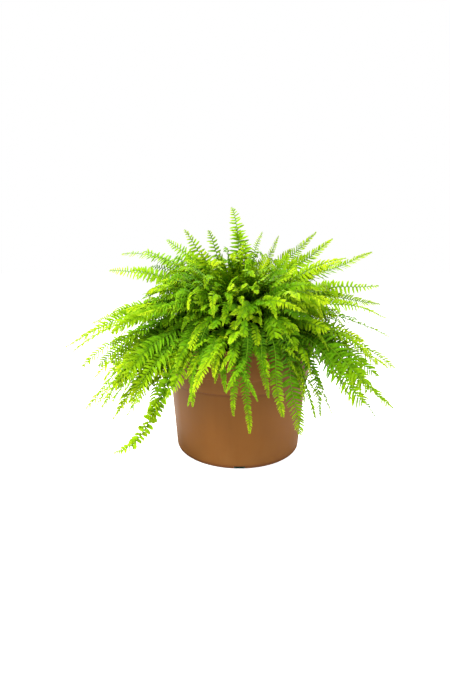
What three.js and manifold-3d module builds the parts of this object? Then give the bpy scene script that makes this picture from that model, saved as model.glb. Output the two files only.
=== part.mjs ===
// A Boston fern in a brown plastic nursery pot.
// Millimetres, +Z up, +X to the viewer's right and +Y away from the viewer.
// The origin is on the pot's axis, on the surface that the pot stands on.
import * as THREE from "three";
import { mergeVertices } from "three/addons/utils/BufferGeometryUtils.js";
import Module from "manifold-3d";

const wasm = await Module();
wasm.setup();

// Clearance between pieces that touch, and the least thickness of a leaf blade
const GAP = 0.3;
const BLADE = 0.6;

// Pot: a tapered wall under a wider band, on a foot ring and a pad in the middle, with one drainage slot
// at the front
const POT = {
  sides: 32,
  height: 195,
  padRadius: 12,
  footRadius: 103,
  footWidth: 5,
  footHeight: 4,
  heelRadius: 109,
  heelHeight: 7,
  wallTopRadius: 118.5,
  bandBottom: 126,
  bandRadius: 122,
  ridgeHeight: 149,
  ridgeStep: 1,
  bandTopRadius: 127,
  lip: 2,
  wall: 2.4,
  floorTop: 8,
  drainHoles: 4,
  drainRadius: 6,
  drainRing: 62,
  slotWidth: 18,
  slotHeight: 6,
};

// Soil, filled to below the rim, with a shallow pit in the middle for the crown
const SOIL = { top: 176, bump: 1.6, pitRadius: 60.4, pitFloor: 169.7, rings: 2 };

// Crown: the woody clump of the rhizome, from which every frond grows
const CROWN = {
  sides: 16,
  radius: 60,
  bottom: 170,
  edge: 181,
  flatRadius: 34,
  top: 190,
  firstPoint: 10,
  lastPoint: 58,
  leanSpread: 1.35,
  frondRoom: 8.6,
  tuftRoom: 14.5,
  rounds: 120,
  rootDepth: 8,
  rootLength: 18,
};

// Frond: a stalk that thins into a rib, with leaflets cut to the rib on both sides
const RIB = {
  rootWidth: 3.2,
  tipWidth: 1.2,
  rootThick: 2.4,
  tipThick: 0.7,
  bareLength: 66,
  bareShare: 0.26,
  tipLength: 6,
  joined: 12,
};
const LEAFLET = { widest: 0.36, first: 0.34, last: 0.28, forward: 0.22, droop: 0.2 };
const ARCH = { root: 0.42, tip: 0.4, hanging: 0.6, step: 0.04, most: 1.4 };
const OVER_RIM = { from: 100, to: 136, height: 12 };
const ROLL = { hanging: 25, upright: 75 };
const STOCK = { spacing: 4.2, side: 9, bottom: -1, top: 2.5, pitLength: 16.5, pitWidth: 13, lean: 2.4 };
const DEGREE = Math.PI / 180;

// The fronds that stand out from the dome, clockwise from the front left, seen from above.
// Each row gives the compass angle that the frond leans to (0 is right, 90 is away from the viewer),
// the tip's distance from the pot's axis, the tip's height, the angle at which the stalk leaves the
// crown, the angle at which the tip points (below 0 is down), the longest leaflet, the pairs of
// leaflets, and how far the tip turns sideways. Lengths are in mm and angles in degrees.
const STANDING_FRONDS = [
  ["front_left_trailing", -138, 245, 60, 74, -5, 14, 10, -55],
  ["front_left_under", -141, 236, 100, 60, -54, 18, 8, 0],
  ["left_low_a", -151, 262, 110, 62, -46, 20, 9, 0],
  ["left_low_b", -145, 250, 118, 70, -58, 20, 8, 0],
  ["left_low_c", -166, 250, 130, 62, -44, 20, 8, 0],
  ["left_mid_a", -157, 260, 165, 70, -40, 20, 8, 0],
  ["left_far", -172, 300, 180, 66, -30, 22, 10, 0],
  ["left_mid_b", -150, 274, 196, 74, -34, 21, 9, 0],
  ["left_mid_c", 179, 262, 210, 74, -30, 21, 8, 0],
  ["left_high_a", 172, 232, 306, 78, -6, 21, 8, 0],
  ["left_high_b", 163, 226, 335, 82, -10, 22, 8, 0],
  ["top_left_a", 152, 172, 332, 82, 16, 20, 7, 0],
  ["top_left_b", 138, 165, 348, 84, 25, 20, 7, 0],
  ["top_left_c", 166, 126, 362, 84, 38, 20, 7, 0],
  ["top_left_d", -170, 92, 374, 86, 58, 22, 7, 0],
  ["top_left_e", -150, 58, 372, 88, 66, 22, 7, 0],
  ["top_tall", 106, 50, 418, 86, 64, 25, 10, 80],
  ["top_small", 62, 74, 366, 86, 64, 16, 6, 0],
  ["top_right_a", 40, 102, 368, 84, 48, 18, 7, 0],
  ["top_right_b", 19, 148, 375, 80, 36, 21, 7, 0],
  ["top_right_c", -9, 155, 358, 80, 32, 22, 7, 0],
  ["right_high_a", 4, 234, 337, 76, 18, 22, 9, 0],
  ["right_high_b", -35, 184, 327, 78, 12, 21, 7, 0],
  ["right_mid_a", -16, 224, 287, 74, 4, 22, 7, 0],
  ["right_mid_b", 10, 268, 246, 74, -12, 23, 8, 0],
  ["right_mid_c", -27, 238, 242, 74, -20, 22, 7, 0],
  ["right_mid_d", -6, 256, 196, 70, -30, 22, 8, 0],
  ["right_low_a", -17, 257, 156, 66, -34, 21, 8, 0],
  ["right_low_b", -32, 250, 174, 70, -32, 21, 8, 0],
  ["right_low_wide", -42, 270, 129, 62, -40, 25, 10, 0],
  ["right_low_c", -31, 236, 92, 58, -50, 14, 8, 0],
  ["right_hanging", -48, 178, 99, 64, -78, 16, 7, 0],
  ["front_right_broad", -62, 174, 80, 62, -80, 19, 10, 0],
  ["front_right_pale", -71, 170, 108, 66, -80, 13, 9, 0],
  ["front_centre_tip", -87, 164, 86, 60, -82, 10, 9, 0],
  ["front_centre_curved", -93, 166, 113, 62, -76, 9.5, 9, 16],
  ["front_dark", -78, 166, 138, 60, -76, 9, 8, 0],
  ["front_left_pale", -110, 186, 147, 64, -66, 12, 8, -24],
  ["front_left_short", -116, 164, 119, 60, -78, 9, 8, 0],
];

// Tufts fill the rest of the dome. The fronds of a tuft grow from one root and stand at four levels.
// Towards the sides they reach wider, by a share of their reach. Each level gives the reach, the tip's
// height, the launch, the tip angle, the longest leaflet and the pairs of leaflets.
const TUFTS = [
  {
    name: "tuft_front",
    count: 10,
    from: -164,
    to: -16,
    wider: 0.2,
    finish: "young",
    levels: [
      [80, 304, 88, -16, 16, 5],
      [114, 272, 84, -50, 17, 6],
      [138, 238, 79, -66, 17, 5],
      [150, 200, 64, -48, 18, 5],
    ],
  },
  {
    name: "tuft_back",
    count: 7,
    from: 6,
    to: 174,
    wider: 0,
    finish: "frond",
    levels: [
      [100, 316, 87, 4, 18, 5],
      [160, 280, 82, -24, 19, 6],
      [190, 214, 76, -44, 20, 5],
      [234, 138, 66, -52, 20, 5],
    ],
  },
];
const TUFT_VARIETY = { spread: 40, reach: 0.1, height: 16, tipAngle: 12, sweep: 30, roll: 14, seed: 19 };

// The most by which a frond may be bent aside to clear those in place: turned about the pot's axis and
// rolled about its rib, in degrees, raised and drawn in, as shares of its reach, and lifted, in mm.
// Its leaflets may shorten too, by a share of their length.
const BEND = {
  frond: { turn: 18, roll: 60, rise: 0.5, reach: 0.05, height: 24, narrow: 0.5 },
  tuft: { turn: 28, roll: 60, rise: 0.35, reach: 0.2, height: 50, narrow: 0.5 },
};
const BEND_TRIES = 1200;
const BEND_SEED = 8;
const LEAF_CLEARANCE = 0.2;

const finishes = {
  pot: { color: 0x9a6a3f, roughness: 0.5 },
  plug: { color: 0x24463a, roughness: 0.5 },
  soil: { color: 0x2f2117, roughness: 1 },
  crown: { color: 0x4d3a22, roughness: 0.95 },
  frond: { color: 0x7fb526, roughness: 0.55 },
  young: { color: 0xb4d63a, roughness: 0.55 },
};

// A small repeatable random source, from 0 up to 1
function randomSource(seed) {
  let state = seed;
  return () => {
    state = (state * 1664525 + 1013904223) % 4294967296;
    return state / 4294967296;
  };
}

function mix(from, to, share) {
  return from + (to - from) * share;
}

// A closed mesh as a solid
function solidOf(geometry) {
  const bare = geometry.clone();
  bare.deleteAttribute("normal");
  bare.deleteAttribute("uv");
  const merged = mergeVertices(bare, 1e-4);
  return new wasm.Manifold(
    new wasm.Mesh({
      numProp: 3,
      vertProperties: merged.attributes.position.array,
      triVerts: new Uint32Array(merged.index.array),
    }),
  );
}

// A solid as a geometry that three.js can draw
function geometryOf(solid) {
  const mesh = solid.getMesh();
  const geometry = new THREE.BufferGeometry();
  geometry.setAttribute("position", new THREE.BufferAttribute(mesh.vertProperties.slice(), mesh.numProp));
  geometry.setIndex(new THREE.BufferAttribute(mesh.triVerts.slice(), 1));
  geometry.computeVertexNormals();
  return geometry;
}

function meshOf(name, solid, finish) {
  const material = new THREE.MeshStandardMaterial({ ...finishes[finish], metalness: 0 });
  const mesh = new THREE.Mesh(geometryOf(solid), material);
  mesh.name = name;
  return mesh;
}

// A profile of [radius, height] points, which starts and ends on the axis, turned about +Z
function turned(profile, sides) {
  const points = profile.map(([radius, height]) => new THREE.Vector2(radius, height));
  return new THREE.LatheGeometry(points, sides).rotateX(Math.PI / 2);
}

// The outer radius of the pot's wall below the band, and the band's above it
function wallRadius(height) {
  const share = (height - POT.heelHeight) / (POT.bandBottom - POT.heelHeight);
  return mix(POT.heelRadius, POT.wallTopRadius, share);
}

function bandRadius(height) {
  const share = (height - POT.bandBottom) / (POT.height - POT.bandBottom);
  return mix(POT.bandRadius, POT.bandTopRadius, share) + (height > POT.ridgeHeight ? POT.ridgeStep : 0);
}

function innerRadius(height) {
  if (height > POT.bandBottom) return bandRadius(height) - POT.wall - POT.ridgeStep;
  return wallRadius(height) - POT.wall;
}

// The notch that the drainage slot cuts through the foot ring
function drainSlot() {
  const slot = new THREE.BoxGeometry(POT.slotWidth, POT.footWidth + 6, 2 * POT.slotHeight);
  return slot.translate(0, -POT.footRadius - 1, 0);
}

function potSolid() {
  const band = POT.bandBottom;
  const ridge = POT.ridgeHeight;
  const top = POT.height;
  const lip = POT.lip;
  const profile = [
    [0, 0],
    [POT.padRadius, 0],
    [POT.padRadius, POT.footHeight],
    [POT.footRadius - POT.footWidth, POT.footHeight],
    [POT.footRadius - POT.footWidth, 0],
    [POT.footRadius, 0],
    [POT.heelRadius - 1.5, 2.5],
    [POT.heelRadius, POT.heelHeight],
    [wallRadius(band), band],
    [bandRadius(band), band + 1.5],
    [bandRadius(ridge), ridge],
    [bandRadius(ridge + 1), ridge + 1],
    [bandRadius(top) - lip / 2, top - 5],
    [bandRadius(top) + lip / 2, top - 3],
    [bandRadius(top), top],
    [innerRadius(top) + lip / 2, top],
    [innerRadius(top - 6), top - 6],
    [innerRadius(band + 1), band + 1],
    [innerRadius(band), band],
    [innerRadius(POT.floorTop), POT.floorTop],
    [0, POT.floorTop],
  ];
  let pot = solidOf(turned(profile, POT.sides));
  for (let i = 0; i < POT.drainHoles; i++) {
    const angle = ((i + 0.5) / POT.drainHoles) * 2 * Math.PI;
    const hole = new THREE.CylinderGeometry(POT.drainRadius, POT.drainRadius, 3 * POT.floorTop, 8)
      .rotateX(Math.PI / 2)
      .translate(POT.drainRing * Math.cos(angle), POT.drainRing * Math.sin(angle), POT.floorTop);
    pot = pot.subtract(solidOf(hole));
  }
  return pot.subtract(solidOf(drainSlot()));
}

// The dark plug that closes the drainage slot. It reaches from inside the foot ring to just past it, clear
// of the surface that the pot stands on.
function plugSolid() {
  const back = POT.footRadius - POT.footWidth + 3 * GAP;
  const front = POT.footRadius + 1.5;
  const width = POT.slotWidth - 2 * GAP;
  const bottom = 0.2;
  const height = POT.slotHeight - GAP - bottom;
  const plug = new THREE.BoxGeometry(width, front - back, height);
  return solidOf(plug.translate(0, -(front + back) / 2, bottom + height / 2));
}

// Lumps on a turned top face, from a few waves that close on themselves round the axis
function lumps(geometry, lowest, size) {
  const place = geometry.attributes.position;
  for (let i = 0; i < place.count; i++) {
    const [x, y, z] = [place.getX(i), place.getY(i), place.getZ(i)];
    const radius = Math.hypot(x, y);
    const angle = Math.atan2(y, x);
    const broad = Math.sin(5 * angle + radius / 6) * Math.cos(3 * angle - radius / 9);
    const wave = broad + 0.5 * Math.sin(9 * angle);
    if (z > lowest && radius > 1) place.setZ(i, z + size * wave);
  }
  return geometry;
}

function soilSolid() {
  const side = (height) => [innerRadius(height) - GAP, height];
  const floor = POT.floorTop + GAP;
  const profile = [[0, floor], side(floor), side(POT.bandBottom), side(POT.bandBottom + 1), side(SOIL.top)];
  for (let i = 1; i < SOIL.rings; i++) {
    profile.push([mix(innerRadius(SOIL.top), SOIL.pitRadius, i / SOIL.rings), SOIL.top + 0.5]);
  }
  profile.push([SOIL.pitRadius, SOIL.top], [SOIL.pitRadius, SOIL.pitFloor], [0, SOIL.pitFloor]);
  return solidOf(lumps(turned(profile, POT.sides), SOIL.top, SOIL.bump));
}

function crownHeight(radius) {
  const share = Math.max(0, radius - CROWN.flatRadius) / (CROWN.radius - CROWN.flatRadius);
  return mix(CROWN.top, CROWN.edge, share);
}

function crownSolid() {
  const profile = [
    [0, CROWN.bottom],
    [CROWN.radius, CROWN.bottom],
    [CROWN.radius, CROWN.edge],
    [CROWN.flatRadius, CROWN.top],
    [0, CROWN.top],
  ];
  return solidOf(turned(profile, CROWN.sides));
}

// Gives every plant a growing point on the crown, on the side that it leans to. Upright ones stand
// further in. Points that crowd each other are pushed apart, a little at a time.
function takePoints(plants) {
  const points = plants.map(({ azimuth, launch }) =>
    heading(azimuth, 0).multiplyScalar(CROWN.firstPoint + (90 - launch) * CROWN.leanSpread),
  );
  const room = plants.map((plant) => (plant.kind === "tuft" ? CROWN.tuftRoom : CROWN.frondRoom) / 2);
  for (let round = 0; round < CROWN.rounds; round++) {
    for (let i = 0; i < points.length; i++) {
      for (let j = 0; j < i; j++) {
        const apart = points[i].clone().sub(points[j]);
        const short = room[i] + room[j] - apart.length();
        if (short <= 0) continue;
        apart.setLength(short / 2);
        points[i].add(apart);
        points[j].sub(apart);
      }
      points[i].clampLength(0, CROWN.lastPoint - room[i]);
    }
  }
  points.forEach((point, i) => {
    plants[i].root = point.setZ(crownHeight(point.length()) - CROWN.rootDepth);
  });
}

function heading(azimuth, elevation) {
  const [a, e] = [azimuth * DEGREE, elevation * DEGREE];
  return new THREE.Vector3(Math.cos(e) * Math.cos(a), Math.cos(e) * Math.sin(a), Math.sin(e));
}

// The curve of a frond's rib: it leaves its root at one angle and reaches its tip at another. The first
// half is drawn out upwards until the rib passes over the rim with room for its leaflets.
function ribCurve(frond) {
  const tip = heading(frond.azimuth, 0).multiplyScalar(frond.reach).setZ(frond.height);
  const span = tip.distanceTo(frond.root);
  const hang = Math.max(0, -Math.sin(frond.tipAngle * DEGREE));
  const outward = Math.atan2(tip.y - frond.root.y, tip.x - frond.root.x) / DEGREE;
  const tipArm = span * mix(ARCH.tip, ARCH.hanging, hang);
  const back = tip.clone().addScaledVector(heading(frond.azimuth + frond.sweep, frond.tipAngle), -tipArm);
  for (let arm = ARCH.root + frond.rise; ; arm += ARCH.step) {
    const up = frond.root.clone().addScaledVector(heading(outward, frond.launch), span * arm);
    const curve = new THREE.CubicBezierCurve3(frond.root, up, back, tip);
    const low = curve.getPoints(24).some((point) => {
      const radius = Math.hypot(point.x, point.y);
      return radius > OVER_RIM.from && radius < OVER_RIM.to && point.z < POT.height + OVER_RIM.height;
    });
    if (!low || arm > ARCH.most) return curve;
  }
}

// Stations along the rib: a few on the bare stalk, then one between every two pairs of leaflets
function stationsOf(frond) {
  const curve = ribCurve(frond);
  const length = curve.getLength();
  const bare = Math.max(RIB.bareLength, RIB.bareShare * length);
  const places = [0, CROWN.rootLength];
  for (let i = 0; i <= frond.pairs; i++) places.push(mix(bare, length - RIB.tipLength, i / frond.pairs));
  return places.map((place, i) => {
    const share = place / length;
    const point = curve.getPointAt(share);
    const along = curve.getTangentAt(share);
    const level = new THREE.Vector3(-Math.sin(frond.azimuth * DEGREE), Math.cos(frond.azimuth * DEGREE), 0);
    const side = level.addScaledVector(along, -level.dot(along)).normalize();
    side.applyAxisAngle(along, frond.roll * DEGREE * Math.min(1, share * 2));
    const up = new THREE.Vector3().crossVectors(along, side);
    const leafShare = (place - bare) / (length - bare);
    return { point, along, side, up, share, leafShare, leafy: i >= 2 };
  });
}

// A leaflet's length along the leafy part of the rib, as a share of the longest
function leafletShare(share) {
  if (share < LEAFLET.widest) return mix(LEAFLET.first, 1, Math.sin((share / LEAFLET.widest) * 90 * DEGREE));
  return mix(1, LEAFLET.last, ((share - LEAFLET.widest) / (1 - LEAFLET.widest)) ** 1.7);
}

// A closed shell built corner by corner, with its faces turned counter-clockwise seen from outside
function startShell() {
  const corners = [];
  const faces = [];
  return {
    corner: (point) => corners.push(point.x, point.y, point.z) / 3 - 1,
    triangle: (a, b, c) => faces.push(a, b, c),
    quad: (a, b, c, d) => faces.push(a, b, c, a, c, d),
    solid: () => {
      const [vertProperties, triVerts] = [new Float32Array(corners), new Uint32Array(faces)];
      return new wasm.Manifold(new wasm.Mesh({ numProp: 3, vertProperties, triVerts }));
    },
  };
}

// Four corners about a station: left and right of the rib, above and below it
function addRing(shell, { point, side, up }, half, thick) {
  const corner = (s, u) => {
    const place = point.clone().addScaledVector(side, s * half);
    return shell.corner(place.addScaledVector(up, u * thick));
  };
  return { lt: corner(1, 1), rt: corner(-1, 1), rb: corner(-1, -1), lb: corner(1, -1) };
}

function addSleeve(shell, a, b, leafy) {
  shell.quad(a.lt, a.rt, b.rt, b.lt);
  shell.quad(a.rb, a.lb, b.lb, b.rb);
  if (leafy) return;
  shell.quad(a.lb, a.lt, b.lt, b.lb);
  shell.quad(a.rt, a.rb, b.rb, b.rt);
}

// A pair of corners as far apart as a leaf blade is thick
function addEdge(shell, point, up, margin) {
  return [1, -1].map((u) => shell.corner(point.clone().addScaledVector(up, u * (BLADE / 2 + margin))));
}

// A frond as one closed solid. Each station has four corners, and each leaflet is a wedge between two
// stations that ends in an edge as thick as the blade. A margin makes it larger all round, to test for room.
function frondSolid(frond, margin = 0) {
  const shell = startShell();
  const stations = stationsOf(frond);
  const rings = stations.map((station) => {
    const half = mix(RIB.rootWidth, RIB.tipWidth, station.share) / 2 + margin;
    const thick = mix(RIB.rootThick, RIB.tipThick, station.share) / 2 + margin;
    return addRing(shell, station, half, thick);
  });
  const [first, last] = [rings[0], rings.at(-1)];
  shell.quad(first.lt, first.lb, first.rb, first.rt);
  for (let i = 0; i + 1 < rings.length; i++) {
    addSleeve(shell, rings[i], rings[i + 1], stations[i].leafy);
    if (!stations[i].leafy) continue;
    for (const hand of [1, -1]) {
      addLeaflet(shell, frond, hand, [stations[i], stations[i + 1]], [rings[i], rings[i + 1]], margin);
    }
  }
  const final = stations.at(-1);
  const end = final.point.clone().addScaledVector(final.along, RIB.tipLength + margin);
  const [top, bottom] = addEdge(shell, end, final.up, margin);
  shell.triangle(last.lt, last.rt, top);
  shell.triangle(last.rb, last.lb, bottom);
  shell.quad(last.lb, last.lt, top, bottom);
  shell.quad(last.rt, last.rb, bottom, top);
  return shell.solid();
}

// A leaflet between two stations, on the left of the rib (hand 1) or on its right (hand -1)
function addLeaflet(shell, frond, hand, [from, to], [a, b], margin) {
  const length = frond.leaflet * leafletShare((from.leafShare + to.leafShare) / 2) + margin;
  const end = from.point.clone().lerp(to.point, 0.5);
  end.addScaledVector(from.side, hand * length);
  end.addScaledVector(from.along, LEAFLET.forward * length);
  end.addScaledVector(from.up, -LEAFLET.droop * length);
  const [top, bottom] = addEdge(shell, end, from.up, margin);
  const corners = hand > 0 ? [a.lt, b.lt, a.lb, b.lb] : [b.rt, a.rt, b.rb, a.rb];
  const [backTop, foreTop, backUnder, foreUnder] = corners;
  shell.triangle(backTop, foreTop, top);
  shell.triangle(foreUnder, backUnder, bottom);
  shell.quad(backTop, top, bottom, backUnder);
  shell.quad(foreTop, foreUnder, bottom, top);
}

// The hole that a root needs in the crown: a straight four-sided shaft round the foot of the stalk
function socketSolid(frond) {
  const [foot, end] = stationsOf(frond);
  const axis = end.point.clone().sub(foot.point).normalize();
  const shell = startShell();
  const [a, b] = [[foot, -GAP], [end, 4]].map(([station, shift]) => {
    const point = station.point.clone().addScaledVector(axis, shift);
    return addRing(shell, { ...station, point }, RIB.rootWidth / 2 + GAP, RIB.rootThick / 2 + GAP);
  });
  shell.quad(a.lt, a.lb, a.rb, a.rt);
  addSleeve(shell, a, b, false);
  shell.quad(b.lt, b.rt, b.rb, b.lb);
  return shell.solid();
}

// A block about a tuft's root, turned to the side that the tuft leans to
function blockSolid(root, azimuth, [length, width], forward, bottom, top) {
  const block = new THREE.BoxGeometry(length, width, top - bottom).translate(forward, 0, (top + bottom) / 2);
  return solidOf(block.rotateZ(azimuth * DEGREE).translate(root.x, root.y, root.z));
}

// The small rootstock that joins the stalks of a tuft, and the pit that it stands in
function stockSolid({ root, azimuth }) {
  return blockSolid(root, azimuth, [STOCK.side, STOCK.side], 0, STOCK.bottom, STOCK.top);
}

function pitSolid({ root, azimuth }) {
  const size = [STOCK.pitLength, STOCK.pitWidth];
  return blockSolid(root, azimuth, size, STOCK.lean, STOCK.bottom - GAP, 4 * CROWN.rootDepth);
}

function boxesMeet(a, b) {
  return [0, 1, 2].every((axis) => a.min[axis] <= b.max[axis] && b.min[axis] <= a.max[axis]);
}

// Bends a frond aside, more and more, until it is clear of all that is in place.
// Fronds of the same tuft are joined, so they may cross near their root. One of a tuft that finds no
// room does not grow.
function bendClear(frond, placed, random) {
  const most = BEND[frond.kind];
  let last = placed[0];
  for (let i = 0; i < BEND_TRIES; i++) {
    const ease = i / BEND_TRIES;
    const vary = (size) => size * ease * 2 * (random() - 0.5);
    const bent = {
      ...frond,
      azimuth: frond.azimuth + vary(most.turn),
      roll: frond.roll + vary(most.roll),
      rise: vary(most.rise),
      reach: frond.reach * (1 + vary(most.reach)),
      height: frond.height + Math.abs(vary(most.height)),
      leaflet: frond.leaflet * (1 - most.narrow * ease),
    };
    const solid = frondSolid(bent, LEAF_CLEARANCE);
    const box = solid.boundingBox();
    const meets = (other) => {
      if (!boxesMeet(box, other.box)) return false;
      const common = solid.intersect(other.solid);
      if (common.isEmpty()) return false;
      return other.node !== frond.node || common.boundingBox().max[2] > frond.root.z + RIB.joined;
    };
    if (meets(last)) continue;
    const blocker = placed.find(meets);
    if (!blocker) return bent;
    last = blocker;
  }
  if (frond.kind === "tuft") return null;
  throw new Error("there is no room for the frond " + frond.node);
}

// How far a frond rolls about its rib to show its face to the front, most of all when it stands upright
function rollToView(azimuth, tipAngle) {
  return mix(ROLL.hanging, ROLL.upright, (Math.sin(tipAngle * DEGREE) + 1) / 2) * Math.cos(azimuth * DEGREE);
}

function standingFronds() {
  return STANDING_FRONDS.map(([name, azimuth, reach, height, launch, tipAngle, leaflet, pairs, sweep]) => {
    const shape = { azimuth, reach, height, launch, tipAngle, leaflet, pairs, sweep };
    const roll = rollToView(azimuth, tipAngle);
    return { node: "frond_" + name, kind: "frond", finish: "frond", place: [0, 0], roll, ...shape };
  });
}

// The tufts' fronds, spread evenly between two compass angles and varied a little
function tuftFronds() {
  const random = randomSource(TUFT_VARIETY.seed);
  const vary = (size) => size * 2 * (random() - 0.5);
  const fronds = [];
  for (const { name, count, from, to, wider, finish, levels } of TUFTS) {
    for (let i = 0; i < count; i++) {
      const middle = mix(from, to, (i + 0.5) / count);
      levels.forEach(([reach, height, launch, tipAngle, leaflet, pairs], level) => {
        fronds.push({
          node: `${name}_${i + 1}`,
          kind: "tuft",
          finish,
          place: [level < levels.length / 2 ? -1 : 1, level % 2 ? 1 : -1],
          leaflet,
          pairs,
          launch,
          azimuth: middle + ((level + 0.5) / levels.length - 0.5) * TUFT_VARIETY.spread * (i % 2 ? 1 : -1),
          reach: reach * (1 + vary(TUFT_VARIETY.reach) + wider * Math.cos(middle * DEGREE) ** 2),
          height: height + vary(TUFT_VARIETY.height),
          tipAngle: tipAngle + vary(TUFT_VARIETY.tipAngle),
          sweep: vary(TUFT_VARIETY.sweep),
          roll: rollToView(middle, tipAngle) + vary(TUFT_VARIETY.roll),
        });
      });
    }
  }
  return fronds;
}

// The fronds by the node that they belong to
function gatherPlants(fronds) {
  const plants = new Map();
  for (const frond of fronds) {
    const plant = plants.get(frond.node) ?? { ...frond, fronds: [], solids: [], sockets: [] };
    plant.fronds.push(frond);
    plants.set(frond.node, plant);
  }
  for (const plant of plants.values()) {
    plant.launch = plant.fronds.reduce((sum, frond) => sum + frond.launch, 0) / plant.fronds.length;
  }
  return [...plants.values()];
}

// Gives every frond its root and its room. The fronds of a tuft share one rootstock.
function growPlants(blocks) {
  const random = randomSource(BEND_SEED);
  const placed = blocks.map((solid) => ({ node: null, solid, box: solid.boundingBox() }));
  const plants = gatherPlants([...standingFronds(), ...tuftFronds()]);
  takePoints(plants);
  for (const plant of plants) {
    for (const frond of plant.fronds) {
      const [ahead, aside] = frond.place.map((side) => (side * STOCK.spacing) / 2);
      const root = plant.root.clone().addScaledVector(heading(plant.azimuth, 0), ahead);
      root.addScaledVector(heading(plant.azimuth + 90, 0), aside);
      const settled = bendClear({ ...frond, root }, placed, random);
      if (!settled) continue;
      const solid = frondSolid(settled);
      placed.push({ node: plant.node, solid, box: solid.boundingBox() });
      plant.solids.push(solid);
      plant.sockets.push(socketSolid(settled));
    }
    if (plant.kind !== "tuft") continue;
    plant.solids.push(stockSolid(plant));
    plant.sockets.push(pitSolid(plant));
  }
  return plants;
}

function buildFern() {
  const pot = potSolid();
  const soil = soilSolid();
  const fern = new THREE.Group();
  let crown = crownSolid();
  for (const { node, solids, sockets, finish } of growPlants([pot, soil])) {
    fern.add(meshOf(node, solids.reduce((all, solid) => all.add(solid)), finish));
    crown = sockets.reduce((rest, socket) => rest.subtract(socket), crown);
  }
  fern.add(meshOf("pot", pot, "pot"), meshOf("drain_plug", plugSolid(), "plug"));
  fern.add(meshOf("soil", soil, "soil"), meshOf("crown", crown, "crown"));
  return fern;
}

export default buildFern();
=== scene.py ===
"""A Boston fern in a brown plastic nursery pot: its visible surfaces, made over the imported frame."""

import logging
import math
from collections.abc import Callable, Iterable, Sequence
from dataclasses import dataclass, field
from enum import Enum

import bmesh
import bpy
import numpy as np
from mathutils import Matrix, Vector, noise


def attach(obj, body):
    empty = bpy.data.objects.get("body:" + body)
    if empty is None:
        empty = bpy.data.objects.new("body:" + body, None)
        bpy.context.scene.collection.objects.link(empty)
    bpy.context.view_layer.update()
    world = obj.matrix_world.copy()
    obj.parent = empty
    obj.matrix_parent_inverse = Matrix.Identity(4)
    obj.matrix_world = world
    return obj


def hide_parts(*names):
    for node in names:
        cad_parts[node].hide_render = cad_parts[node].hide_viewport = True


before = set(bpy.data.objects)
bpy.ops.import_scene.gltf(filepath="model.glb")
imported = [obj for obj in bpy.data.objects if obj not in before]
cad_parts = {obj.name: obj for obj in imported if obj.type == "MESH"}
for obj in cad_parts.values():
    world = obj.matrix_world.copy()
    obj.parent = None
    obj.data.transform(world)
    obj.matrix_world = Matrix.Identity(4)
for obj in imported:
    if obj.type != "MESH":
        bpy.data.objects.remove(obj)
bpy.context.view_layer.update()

LOG = logging.getLogger("fern")
MM = 0.001
SEED = 41

# The scale of the patches that dust lies in, which the pot and its plug share
DUST_PATCHES = 38.0

Colour = tuple[float, float, float]
Input = float | Colour | bpy.types.NodeSocket


# Nodes and materials


def rgba(colour: Colour) -> tuple[float, float, float, float]:
    """Return a colour with full opacity."""
    return (*colour, 1.0)


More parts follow.
